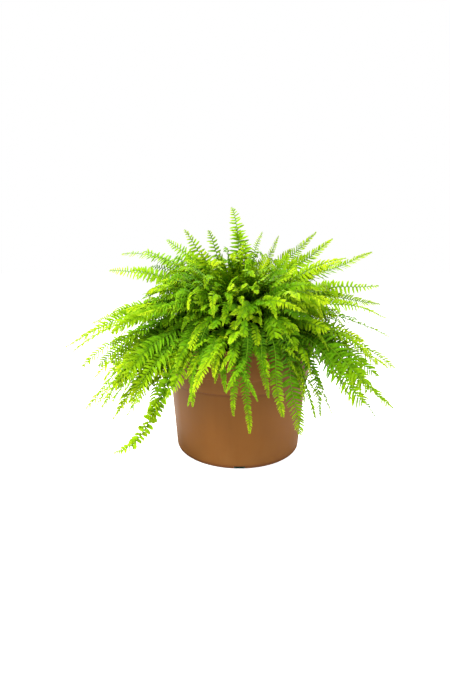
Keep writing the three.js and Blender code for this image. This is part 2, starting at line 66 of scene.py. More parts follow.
class Graph:
    """Adds and links the nodes of one material or node group."""

    def __init__(self, tree: bpy.types.NodeTree) -> None:
        """Keep the tree that the nodes go into.

        Args:
            tree: The node tree of a material or of a group.
        """
        self.tree = tree

    def add(self, kind: str, inputs: dict | None = None, **settings: object) -> bpy.types.Node:
        """Add a node, set it and feed it.

        Args:
            kind: The node's type name.
            inputs: Values or sockets by the name or number of the input that they go to.
            settings: The node's own settings.

        Returns:
            The new node.
        """
        node = self.tree.nodes.new(kind)
        for name, value in settings.items():
            setattr(node, name, value)
        self.feed(node, inputs or {})
        return node

    def feed(self, node: bpy.types.Node, inputs: dict[str | int, Input]) -> None:
        """Feed a node's inputs.

        Args:
            node: The node.
            inputs: Values or sockets by the name or number of the input that they go to.
        """
        for key, value in inputs.items():
            if isinstance(value, bpy.types.NodeSocket):
                self.tree.links.new(value, node.inputs[key])
            else:
                is_colour = isinstance(value, tuple) and len(node.inputs[key].default_value) == 4
                node.inputs[key].default_value = rgba(value) if is_colour else value

    def calc(self, operation: str, a: Input, b: Input = 0.0) -> bpy.types.NodeSocket:
        """Return the result of a Math node.

        Args:
            operation: The Math node's operation.
            a: The first value.
            b: The second value.

        Returns:
            The value socket.
        """
        return self.add("ShaderNodeMath", {0: a, 1: b}, operation=operation).outputs[0]

    def spread(self, value: Input, low: float, high: float, first: float = 0.0,
               last: float = 1.0) -> bpy.types.NodeSocket:
        """Map a range of values onto another and hold it there.

        Args:
            value: The value to map.
            low: Where the range starts.
            high: Where it ends.
            first: The result at its start.
            last: The result at its end.

        Returns:
            The value socket.
        """
        values = {0: value, 1: low, 2: high, 3: first, 4: last}
        return self.add("ShaderNodeMapRange", values, clamp=True).outputs[0]

    def blend(self, share: Input, a: Input, b: Input) -> bpy.types.NodeSocket:
        """Mix two colours.

        Args:
            share: How much of the second colour shows.
            a: The first colour.
            b: The second colour.

        Returns:
            The colour socket.
        """
        return self.add("ShaderNodeMix", {0: share, 6: a, 7: b}, data_type="RGBA").outputs[2]

    def ramp(self, value: Input, stops: Sequence[tuple[float, Colour]]) -> bpy.types.NodeSocket:
        """Turn a value into a colour along a row of stops.

        Args:
            value: The value, from 0 to 1.
            stops: The places of the colours, in order, and the colours.

        Returns:
            The colour socket.
        """
        node = self.add("ShaderNodeValToRGB", {0: value})
        elements = node.color_ramp.elements
        while len(elements) < len(stops):
            elements.new(0.5)
        for element, (place, colour) in zip(elements, stops):
            element.position = place
            element.color = rgba(colour)
        return node.outputs[0]

    def cloud(self, vector: Input, scale: float, detail: float = 3.0) -> bpy.types.NodeSocket:
        """Return a noise value about the middle of 0 to 1.

        Args:
            vector: The place to read.
            scale: Lumps per metre.
            detail: How many finer layers are added.

        Returns:
            The value socket.
        """
        return self.add("ShaderNodeTexNoise", {"Vector": vector, "Scale": scale, "Detail": detail}).outputs[0]

    def place(self) -> bpy.types.NodeSocket:
        """Return the place on the object, in metres."""
        return self.add("ShaderNodeTexCoord").outputs["Object"]


def shared_group(name: str, inputs: Sequence[str], outputs: Sequence[str],
                 fill: Callable[[Graph, bpy.types.Node, bpy.types.Node], None]) -> bpy.types.NodeTree:
    """Build a node group once, and find it again after that.

    Args:
        name: The group's name.
        inputs: Its inputs. The first is the place, and the others are numbers.
        outputs: Its outputs, which are all numbers.
        fill: Adds the nodes between the group's input node and its output node.

    Returns:
        The group.
    """
    found = bpy.data.node_groups.get(name)
    if found:
        return found
    tree = bpy.data.node_groups.new(name, "ShaderNodeTree")
    for number, socket in enumerate(inputs):
        kind = "NodeSocketFloat" if number else "NodeSocketVector"
        tree.interface.new_socket(name=socket, in_out="INPUT", socket_type=kind)
    for socket in outputs:
        tree.interface.new_socket(name=socket, in_out="OUTPUT", socket_type="NodeSocketFloat")
    graph = Graph(tree)
    fill(graph, graph.add("NodeGroupInput"), graph.add("NodeGroupOutput"))
    return tree


def mottle_group() -> bpy.types.NodeTree:
    """Build the group of soft blotches and fine grain that every surface has at its own scale.

    Returns:
        The group.
    """

    def fill(graph: Graph, entry: bpy.types.Node, leave: bpy.types.Node) -> None:
        """Link two layers of noise.

        Args:
            graph: The group's graph.
            entry: Its input node.
            leave: Its output node.
        """
        for socket, scale, detail in (("Blotches", "Blotch Scale", 4.0), ("Grain", "Grain Scale", 6.0)):
            inputs = {"Vector": entry.outputs["Place"], "Scale": entry.outputs[scale], "Detail": detail}
            layer = graph.add("ShaderNodeTexNoise", inputs)
            graph.tree.links.new(layer.outputs[0], leave.inputs[socket])

    return shared_group("mottle", ("Place", "Blotch Scale", "Grain Scale"), ("Blotches", "Grain"), fill)


def dust_group() -> bpy.types.NodeTree:
    """Build the group that gathers dust between two heights, in broken patches.

    Returns:
        The group.
    """

    def fill(graph: Graph, entry: bpy.types.Node, leave: bpy.types.Node) -> None:
        """Link the height to a patchy mask.

        Args:
            graph: The group's graph.
            entry: Its input node.
            leave: Its output node.
        """
        place = entry.outputs["Place"]
        height = graph.add("ShaderNodeSeparateXYZ", {0: place}).outputs[2]
        limits = {0: height, 1: entry.outputs["Clean Height"], 2: entry.outputs["Dusty Height"]}
        level = graph.add("ShaderNodeMapRange", limits, clamp=True).outputs[0]
        patches = graph.spread(graph.cloud(place, DUST_PATCHES, 6.0), 0.38, 0.72)
        graph.tree.links.new(graph.calc("MULTIPLY", level, patches), leave.inputs["Dust"])

    return shared_group("dust", ("Place", "Clean Height", "Dusty Height"), ("Dust",), fill)


def placed_group(graph: Graph, group: bpy.types.NodeTree, values: dict[str, Input]) -> bpy.types.Node:
    """Place a shared group in a material, with the material's own values.

    Args:
        graph: The material's graph.
        group: The group.
        values: Values or sockets by the name of the group's input.

    Returns:
        The group's node.
    """
    return graph.add("ShaderNodeGroup", values, node_tree=group)


def new_material(name: str) -> tuple[bpy.types.Material, Graph, bpy.types.Node]:
    """Make a material with a bare Principled shader.

    Args:
        name: The material's name.

    Returns:
        The material, its graph and its shader node.
    """
    material = bpy.data.materials.new(name)
    material.use_nodes = True
    return material, Graph(material.node_tree), material.node_tree.nodes["Principled BSDF"]


@dataclass(frozen=True)
class PlasticFinish:
    """Moulded plastic with a soft sheen: a little mottled, rubbed in places, and dusty low down.

    Its edge colour is painted shade: a dark line at the foot and a dark band just under the rim band, where
    shade falls.
    The scales are in lumps per metre, and the lines are pairs of heights between which the edge colour grows
    or fades.
    """

    name: str
    colour: Colour
    shade: Colour
    dust: Colour
    # The edge colour is painted shade, for the foot line and the band under the rim band
    edge: Colour
    roughness: float
    blotch_scale: float = 11.0
    grain_scale: float = 1500.0
    grain_depth: float = 0.12 * MM
    streak_scale: tuple[float, float, float] = (90.0, 90.0, 4.0)
    clean_height: float = 50 * MM
    dusty_height: float = 4 * MM
    painted_foot_shade: tuple[float, float] = (9 * MM, 6 * MM)
    band_shade: tuple[float, float] = (120.5 * MM, 125.5 * MM)
    band_edge: tuple[float, float] = (127.5 * MM, 126.5 * MM)
    specular: float = 0.22

    def tint(self, graph: Graph, place: Input, blotches: Input, rubbed: Input,
             dust: Input) -> bpy.types.NodeSocket:
        """Mix the colour, from the plain plastic to the lines of painted shade at the foot and under the rim
        band.

        Args:
            graph: The material's graph.
            place: The place on the object.
            blotches: The mask of the plastic's two tones.
            rubbed: The mask of the rubbed streaks.
            dust: The mask of the dust.

        Returns:
            The colour socket.
        """
        colour = graph.blend(graph.spread(blotches, 0.3, 0.7), self.shade, self.colour)
        colour = graph.blend(graph.calc("MULTIPLY", rubbed, 0.05), colour, self.dust)
        colour = graph.blend(graph.calc("MULTIPLY", dust, 0.2), colour, self.dust)
        height = graph.add("ShaderNodeSeparateXYZ", {0: place}).outputs[2]
        # Painted shade: the edge colour darkens the lowest few millimetres at the foot
        colour = graph.blend(graph.spread(height, *self.painted_foot_shade, 0.0, 0.75), colour, self.edge)
        # Painted shade just under the rim band, where the band shades the wall below it
        painted_shade_under_band = graph.calc("MULTIPLY", graph.spread(height, *self.band_shade),
                                graph.spread(height, *self.band_edge))
        return graph.blend(graph.calc("MULTIPLY", painted_shade_under_band, 0.7), colour, self.edge)

    def material(self) -> bpy.types.Material:
        """Make the finish's material.

        Returns:
            The material.
        """
        material, graph, shader = new_material(self.name)
        place = graph.place()
        scales = {"Place": place, "Blotch Scale": self.blotch_scale, "Grain Scale": self.grain_scale}
        mottle = placed_group(graph, mottle_group(), scales)
        streaks = graph.add("ShaderNodeMapping", {"Vector": place, "Scale": self.streak_scale}).outputs[0]
        rubbed = graph.spread(graph.cloud(streaks, 1.0, 5.0), 0.35, 0.75)
        heights = {"Place": place, "Clean Height": self.clean_height, "Dusty Height": self.dusty_height}
        dust = placed_group(graph, dust_group(), heights).outputs["Dust"]
        sheen = graph.calc("ADD", graph.calc("MULTIPLY", rubbed, 0.10), self.roughness)
        grain = {"Strength": 0.35, "Distance": self.grain_depth, "Height": mottle.outputs["Grain"]}
        graph.feed(shader, {
            "Base Color": self.tint(graph, place, mottle.outputs["Blotches"], rubbed, dust),
            "Roughness": graph.calc("ADD", graph.calc("MULTIPLY", dust, 0.3), sheen),
            "Normal": graph.add("ShaderNodeBump", grain).outputs[0],
            "Specular IOR Level": self.specular,
        })
        return material


@dataclass(frozen=True)
class GroundFinish:
    """Matte crumbs or bark: three shades over two scales of lumps."""

    name: str
    dark: Colour
    middle: Colour
    light: Colour
    blotch_scale: float
    grain_scale: float
    relief: float

    def material(self) -> bpy.types.Material:
        """Make the finish's material.

        Returns:
            The material.
        """
        material, graph, shader = new_material(self.name)
        scales = {"Place": graph.place(), "Blotch Scale": self.blotch_scale, "Grain Scale": self.grain_scale}
        mottle = placed_group(graph, mottle_group(), scales)
        grain = mottle.outputs["Grain"]
        colour = graph.blend(graph.spread(grain, 0.35, 0.65), self.dark, self.middle)
        flecks = graph.spread(graph.calc("MULTIPLY", mottle.outputs["Blotches"], grain), 0.24, 0.42)
        colour = graph.blend(flecks, colour, self.light)
        relief = graph.add("ShaderNodeBump", {"Strength": 0.8, "Distance": self.relief, "Height": grain})
        graph.feed(shader, {
            "Base Color": colour,
            "Roughness": graph.spread(grain, 0.3, 0.7, 0.95, 0.75),
            "Normal": relief.outputs[0],
        })
        return material


class Mark(Enum):
    """The values that every point of a frond carries for its material."""

    ALONG = "leaf_along"
    ACROSS = "leaf_across"
    # The age also carries painted shade: darker towards the fronds' roots and on the fronds inside the
    # foliage
    AGE = "leaf_age_and_shade"
    UNDER = "leaf_under"
    STALK = "leaf_stalk"


@dataclass(frozen=True)
class LeafFinish:
    """Thin leaves from fresh yellow green to deep green, with pale ribs, veins and a dull underside, painted
    highlights along the leaflets' margins and painted shade at their bases.

    The scales are in lumps per metre. The vein wave says how fast the veins follow each other along a
    leaflet, and the vein slant how far they lean towards its tip.
    """

    name: str
    fresh: Colour
    lime: Colour
    mature: Colour
    deep: Colour
    tip: Colour
    vein: Colour
    under: Colour
    stalk: Colour
    bark: Colour
    roughness: float
    glow: float
    patch_scale: float = 55.0
    patch_age: float = 0.09
    grain_scale: float = 700.0
    vein_wave: float = 62.0
    vein_slant: float = -9.0
    vein_depth: float = 0.18 * MM
    specular: float = 0.05
    glow_reach: Colour = (0.8, 1.0, 0.15)
    glow_depth: float = 1.6 * MM

    def tint(self, graph: Graph, read: dict[Mark, Input], age: Input, veins: Input) -> bpy.types.NodeSocket:
        """Mix the colour, from the blade's age to the stalk.

        Args:
            graph: The material's graph.
            read: The sockets of the marks.
            age: The age with its patches, which also holds painted shade towards the fronds' roots and inside
                the foliage.
            veins: The mask of the veins.

        Returns:
            The colour socket.
        """
        along, across = read[Mark.ALONG], read[Mark.ACROSS]
        stops = ((0.0, self.fresh), (0.3, self.lime), (0.65, self.mature), (1.0, self.deep))
        colour = graph.ramp(age, stops)
        young = graph.spread(age, 0.05, 0.6, 0.75, 0.12)
        layers = (
            (graph.calc("MULTIPLY", graph.spread(along, 0.62, 1.0), young), self.tip),
            (graph.calc("MULTIPLY", veins, 0.14), self.deep),
            (graph.spread(across, 0.0, 0.2, 0.3, 0.0), self.vein),
            # Painted highlight: the leaflets' margins are lightened towards the fresh colour, as if lit along
            # their edges
            (graph.spread(across, 0.7, 1.0, 0.0, 0.2), self.fresh),
            # Painted shade: the leaflets darken towards their bases by the rib, where the shade between them
            # falls
            (graph.spread(along, 0.0, 0.36, 0.55, 0.0), self.deep),
            (graph.calc("MULTIPLY", read[Mark.UNDER], 0.45), self.under),
        )
        for share, over in layers:
            colour = graph.blend(share, colour, over)
        stops = ((0.4, self.stalk), (0.75, self.stalk), (1.0, self.bark))
        bare = graph.spread(read[Mark.STALK], 0.2, 0.3)
        return graph.blend(bare, colour, graph.ramp(read[Mark.STALK], stops))

    def material(self) -> bpy.types.Material:
        """Make the finish's material.

        Returns:
            The material.
        """
        material, graph, shader = new_material(self.name)
        place = graph.place()
        read = {
            mark: graph.add("ShaderNodeAttribute", attribute_name=mark.value).outputs["Fac"] for mark in Mark
        }
        swing = self.patch_age
        patches = graph.spread(graph.cloud(place, self.patch_scale, 4.0), 0.3, 0.7, -swing, swing)
        comb = graph.calc("ADD", graph.calc("MULTIPLY", read[Mark.ALONG], self.vein_wave),
                          graph.calc("MULTIPLY", read[Mark.ACROSS], self.vein_slant))
        veins = graph.spread(graph.calc("SINE", comb), 0.2, 1.0)
        height = graph.calc("ADD", veins, graph.calc("MULTIPLY", graph.cloud(place, self.grain_scale), 0.7))
        relief = graph.add("ShaderNodeBump", {"Strength": 0.4, "Distance": self.vein_depth, "Height": height})
        gloss = graph.spread(patches, -swing, swing, self.roughness - 0.05, self.roughness + 0.07)
        graph.feed(shader, {
            "Base Color": self.tint(graph, read, graph.calc("ADD", read[Mark.AGE], patches), veins),
            "Roughness": graph.calc("ADD", graph.calc("MULTIPLY", read[Mark.UNDER], 0.22), gloss),
            "Normal": relief.outputs[0],
            "Specular IOR Level": self.specular,
            "Subsurface Weight": self.glow,
            "Subsurface Radius": self.glow_reach,
            "Subsurface Scale": self.glow_depth,
        })
        return material


@dataclass(frozen=True)
class FloorFinish:
    """A plain white floor, which the camera sees a little brighter than the lights make it."""

    name: str = "pale_floor"
    colour: Colour = (0.84, 0.84, 0.84)
    shade: float = 0.98
    lift: float = 0.98
    roughness: float = 0.9
    specular: float = 0.1

    def material(self) -> bpy.types.Material:
        """Make the finish's material.

        Returns:
            The material.
        """
        material, graph, shader = new_material(self.name)
        tone = graph.spread(graph.cloud(graph.place(), 3.0), 0.3, 0.7, 0.99, 1.0)
        seen = graph.add("ShaderNodeLightPath").outputs["Is Camera Ray"]
        graph.feed(shader, {
            "Base Color": graph.blend(tone, tuple(self.shade * part for part in self.colour), self.colour),
            "Roughness": self.roughness,
            "Specular IOR Level": self.specular,
            "Emission Color": (1.0, 1.0, 1.0),
            "Emission Strength": graph.calc("MULTIPLY", seen, self.lift),
        })
        return material


# Modelling


def clear_selection() -> None:
    """Leave nothing selected."""
    for obj in list(bpy.context.selected_objects):
        obj.select_set(False)
    bpy.context.view_layer.objects.active = None


def choose(obj: bpy.types.Object) -> None:
    """Select one object alone and make it active.

    Args:
        obj: The object.
    """
    clear_selection()
    obj.select_set(True)
    bpy.context.view_layer.objects.active = obj


def rename(name: str) -> bpy.types.Object:
    """Name the active object and its mesh.

    Args:
        name: The piece's name.

    Returns:
        The active object.
    """
    obj = bpy.context.view_layer.objects.active
    obj.name = obj.data.name = name
    return obj


def extrude(step: Vector | tuple[float, float, float]) -> None:
    """Extrude what is selected and move it by a step."""
    bpy.ops.mesh.extrude_region_move(TRANSFORM_OT_translate={"value": tuple(step)})


def lathe(name: str, profile: Sequence[tuple[float, float]], steps: int) -> bpy.types.Object:
    """Draw a profile point by point and spin it about the upright axis.

    Args:
        name: The piece's name.
        profile: Radius and height of each point, from axis to axis.
        steps: How many steps the spin takes.

    Returns:
        The closed piece.
    """
    clear_selection()
    bpy.ops.mesh.primitive_plane_add(size=MM, location=(0, 0, 0))
    bpy.ops.object.mode_set(mode="EDIT")
    bpy.ops.mesh.merge(type="CENTER")
    bpy.ops.transform.translate(value=(profile[0][0], 0, profile[0][1]))
    for (radius, height), (next_radius, next_height) in zip(profile, profile[1:]):
        extrude((next_radius - radius, 0, next_height - height))
    bpy.ops.mesh.select_all(action="SELECT")
    bpy.ops.mesh.spin(steps=steps, angle=2 * math.pi, center=(0, 0, 0), axis=(0, 0, 1))
    bpy.ops.mesh.select_all(action="SELECT")
    bpy.ops.mesh.remove_doubles(threshold=0.002 * MM)
    bpy.ops.mesh.normals_make_consistent(inside=False)
    bpy.ops.object.mode_set(mode="OBJECT")
    return rename(name)


def block(name: str, size: tuple[float, float, float], place: tuple[float, float, float]) -> bpy.types.Object:
    """Model a plain block.

    Args:
        name: The block's name.
        size: Its width, depth and height.
        place: Its middle.

    Returns:
        The block.
    """
    clear_selection()
    bpy.ops.mesh.primitive_cube_add(size=1, location=place)
    piece = rename(name)
    piece.scale = size
    bpy.ops.object.transform_apply(location=True, rotation=False, scale=True)
    return piece


def bevel(obj: bpy.types.Object, width: float, segments: int = 2, angle: float = 30.0) -> None:
    """Round a piece's sharp edges and apply it.

    Args:
        obj: The piece.
        width: The width of the rounding.
        segments: How many faces it has across.
        angle: The least angle of an edge that is rounded, in degrees.
    """
    choose(obj)
    modifier = obj.modifiers.new("soft edges", "BEVEL")
    modifier.width = width
    modifier.segments = segments
    modifier.limit_method = "ANGLE"
    modifier.angle_limit = math.radians(angle)
    bpy.ops.object.modifier_apply(modifier=modifier.name)


def cut(obj: bpy.types.Object, cutter: bpy.types.Object) -> None:
    """Cut one piece out of another, and remove the cutter.

    Args:
        obj: The piece that is cut.
        cutter: The shape that is taken away.
    """
    choose(obj)
    modifier = obj.modifiers.new("cut", "BOOLEAN")
    modifier.operation = "DIFFERENCE"
    modifier.object = cutter
    modifier.solver = "EXACT"
    bpy.ops.object.modifier_apply(modifier=modifier.name)
    bpy.data.objects.remove(cutter)


def smooth(obj: bpy.types.Object, angle: float = 35.0) -> None:
    """Shade a piece smooth, apart from edges sharper than an angle in degrees."""
    choose(obj)
    bpy.ops.object.shade_smooth_by_angle(angle=math.radians(angle))


def finish_piece(obj: bpy.types.Object, material: bpy.types.Material, nodes: Iterable[str]) -> None:
    """Dress a piece and tie it to the frame.

    Args:
        obj: The piece.
        material: Its material.
        nodes: The solids that it stands for.
    """
    obj.data.materials.clear()
    obj.data.materials.append(material)
    for node in nodes:
        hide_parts(node)
    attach(obj, "root")


class MeshStore:
    """Gathers the points and faces of many small shapes into one mesh."""

    def __init__(self) -> None:
        """Start with nothing."""
        self.points: list[np.ndarray] = []
        self.faces: list[list[int]] = []
        self.marks: dict[Mark, list[np.ndarray]] = {mark: [] for mark in Mark}
        self.count = 0

    def add(self, points: np.ndarray, faces: Iterable[np.ndarray], marks: dict[Mark, np.ndarray]) -> None:
        """Add the copies of a shape.

        Args:
            points: The copies' points, as copies by points by three.
            faces: The shape's faces, as one array for each number of corners.
            marks: The copies' values, as copies by points.
        """
        copies, size = points.shape[:2]
        starts = self.count + size * np.arange(copies)
        for table in faces:
            self.faces += (starts[:, None, None] + table[None]).reshape(-1, table.shape[1]).tolist()
        self.points.append(points.reshape(-1, 3))
        for mark in Mark:
            values = np.broadcast_to(marks.get(mark, np.zeros((1, 1))), (copies, size))
            self.marks[mark].append(values.reshape(-1))
        self.count += copies * size

    def build(self, name: str) -> bpy.types.Object:
        """Make one object of all that was added.

        Args:
            name: The piece's name.

        Returns:
            The piece, shaded smooth, with its values as point attributes.
        """
        mesh = bpy.data.meshes.new(name)
        mesh.from_pydata(np.concatenate(self.points).tolist(), [], self.faces)
        for mark, values in self.marks.items():
            layer = mesh.attributes.new(mark.value, "FLOAT", "POINT")
            layer.data.foreach_set("value", np.concatenate(values).astype(np.float32))
        mesh.update()
        obj = bpy.data.objects.new(name, mesh)
        bpy.context.scene.collection.objects.link(obj)
        smooth(obj, 60.0)
        return obj


# Pot, soil and crown


@dataclass
class Pot:
    """The tapered nursery pot with its rim band, foot ring, pad, drain holes and drainage slot.

    The drain turns are in half turns about the pot's axis, and the edge width is that of its rounded edges.
    """

    height: float = 195 * MM
    foot_radius: float = 103 * MM
    foot_width: float = 5 * MM
    foot_height: float = 4 * MM
    pad_radius: float = 12 * MM
    heel_radius: float = 109 * MM
    heel_height: float = 7 * MM
    heel_inset: float = 6 * MM
    wall_top_radius: float = 118.5 * MM
    band_bottom: float = 126 * MM
    band_radius: float = 122 * MM
    ridge_height: float = 149 * MM
    ridge_step: float = 1 * MM
    band_top_radius: float = 127 * MM
    lip: float = 2 * MM
    wall: float = 2.4 * MM
    floor_top: float = 8 * MM
    floor_ring: float = 60 * MM
    drain_radius: float = 6 * MM
    drain_ring: float = 62 * MM
    drain_turns: tuple[float, ...] = (0.25, 0.75, 1.25, 1.75)
    slot_width: float = 18 * MM
    slot_height: float = 6 * MM
    edge_width: float = 0.35 * MM
    steps: int = 144
    # The fourth colour, the edge colour, is the painted shade at the foot and under the rim band
    finish: PlasticFinish = PlasticFinish("brown_plastic", (0.212, 0.072, 0.005), (0.188, 0.063, 0.005),
                                          (0.35, 0.19, 0.07), (0.13, 0.036, 0.002), 0.46)

    def wall_radius(self, height: float) -> float:
        """Return the outer radius of the wall under the band at a height."""
        share = (height - self.heel_height) / (self.band_bottom - self.heel_height)
        return self.heel_radius + (self.wall_top_radius - self.heel_radius) * share

    def rim_radius(self, height: float) -> float:
        """Find the outer radius of the band.

        Args:
            height: The height on the pot.

        Returns:
            The radius.
        """
        share = (height - self.band_bottom) / (self.height - self.band_bottom)
        step = self.ridge_step if height > self.ridge_height else 0.0
        return self.band_radius + (self.band_top_radius - self.band_radius) * share + step

    def inner_radius(self, height: float) -> float:
        """Find the inner radius of the pot.

        Args:
            height: The height on the pot.

        Returns:
            The radius.
        """
        if height > self.band_bottom:
            return self.rim_radius(height) - self.wall - self.ridge_step
        return self.wall_radius(height) - self.wall

    def profile(self) -> list[tuple[float, float]]:
        """Draw the section of the pot, from the middle of its pad round the wall to its floor.

        Returns:
            The radius and the height of each point.
        """
        band, ridge, top = self.band_bottom, self.ridge_height, self.height
        inner_foot, lip = self.foot_radius - self.foot_width, self.lip / 2
        wall, rim, inner = self.wall_radius, self.rim_radius, self.inner_radius
        foot = [
            (0, 0), (self.pad_radius, 0), (self.pad_radius, self.foot_height),
            (self.floor_ring, self.foot_height), (inner_foot, self.foot_height), (inner_foot, 0),
        ]
        heel = [
            (self.heel_radius - (1 - math.sin(turn)) * self.heel_inset,
             self.heel_height - math.cos(turn) * self.heel_height)
            for turn in (0.0, 0.3, 0.6, 0.9, 1.2, 1.5)
        ]
        belly = [(wall(level * MM), level * MM) for level in (20, 40, 60, 80, 100, 120)]
        outer_band = [
            (wall(band) - 0.4 * MM, band - 0.8 * MM), (wall(band), band + 0.2 * MM),
            (rim(band) - 0.5 * MM, band), (rim(band), band + 0.8 * MM),
            (rim(ridge - 8 * MM), ridge - 8 * MM), (rim(ridge), ridge),
            (rim(ridge + MM), ridge + 0.7 * MM), (rim(170 * MM), 170 * MM),
            (rim(top) - lip, top - 5 * MM), (rim(top) + lip, top - 3.4 * MM),
            (rim(top) + lip, top - 1.2 * MM), (rim(top), top),
        ]
        inside = [
            (inner(top) + lip, top), (inner(top - 6 * MM), top - 6 * MM),
            (inner(band + MM), band + MM), (inner(band), band),
            (inner(self.floor_top), self.floor_top), (self.floor_ring, self.floor_top), (0, self.floor_top),
        ]
        return foot + heel + belly + outer_band + inside

    def build(self) -> bpy.types.Object:
        """Turn the pot, drill its drain holes and cut its slot.

        Returns:
            The finished pot.
        """
        pot = lathe("nursery_pot", self.profile(), self.steps)
        bevel(pot, self.edge_width)
        for turn in self.drain_turns:
            clear_selection()
            x, y = self.drain_ring * math.cos(turn * math.pi), self.drain_ring * math.sin(turn * math.pi)
            bpy.ops.mesh.primitive_cylinder_add(vertices=24, radius=self.drain_radius, depth=30 * MM,
                                                location=(x, y, 6 * MM))
            cut(pot, rename("drain cutter"))
        size = (self.slot_width, self.foot_width + 6 * MM, 2 * self.slot_height)
        cut(pot, block("slot cutter", size, (0, -self.foot_radius - MM, 0)))
        smooth(pot, 32.0)
        finish_piece(pot, self.finish.material(), ["pot"])
        return pot


@dataclass
class DrainPlug:
    """The dark grated plug in the drainage slot, inside the foot ring.

    The grating takes up a share of the plug's width, and its grooves a share of the plug's height.
    """

    pot: Pot
    gap: float = 0.3 * MM
    bottom: float = 0.2 * MM
    stand_out: float = 1.5 * MM
    grooves: int = 7
    groove_width: float = 1.2 * MM
    groove_depth: float = 1.6 * MM
    grating_share: float = 0.9
    groove_share: float = 0.62
    edge_width: float = 0.15 * MM
    # Its edge colour, the painted foot shade that covers the whole low plug, is near its own darker tone
    finish: PlasticFinish = PlasticFinish("green_plastic", (0.012, 0.052, 0.038), (0.008, 0.04, 0.03),
                                          (0.05, 0.08, 0.06), (0.01, 0.045, 0.033), 0.45)

    def build(self) -> bpy.types.Object:
        """Model the plug and cut its grooves.

        Returns:
            The finished plug.
        """
        back = self.pot.foot_radius - self.pot.foot_width + 3 * self.gap
        front = self.pot.foot_radius + self.stand_out
        width = self.pot.slot_width - 2 * self.gap
        height = self.pot.slot_height - self.gap - self.bottom
        middle = self.bottom + height / 2
        plug = block("drainage_plug", (width, front - back, height), (0, -(front + back) / 2, middle))
        for groove in range(self.grooves):
            across = ((groove + 0.5) / self.grooves - 0.5) * width * self.grating_share
            size = (self.groove_width, self.groove_depth, height * self.groove_share)
            cut(plug, block("groove cutter", size, (across, -front, middle)))
        bevel(plug, self.edge_width)
        smooth(plug)
        finish_piece(plug, self.finish.material(), ["drain_plug"])
        return plug


def upright_spin(turn: float) -> np.ndarray:
    """Find the matrix that turns rows of points about the upright axis.

    Args:
        turn: The angle.

    Returns:
        The matrix, which the rows are multiplied by from the right.
    """
    cos, sin = math.cos(turn), math.sin(turn)
    return np.array([[cos, sin, 0.0], [-sin, cos, 0.0], [0.0, 0.0, 1.0]])


def crumble(point: Vector, size: float, scale: float) -> float:
    """Return the height of rough lumps at a place.

    Args:
        point: The place.
        size: The height of the largest lumps.
        scale: Lumps per metre.

    Returns:
        The height, about zero.
    """
    broad = noise.noise(point * scale)
    fine = noise.turbulence(point * scale * 3.1, 3, True) - 0.6
    return size * (0.7 * broad + 0.6 * fine)


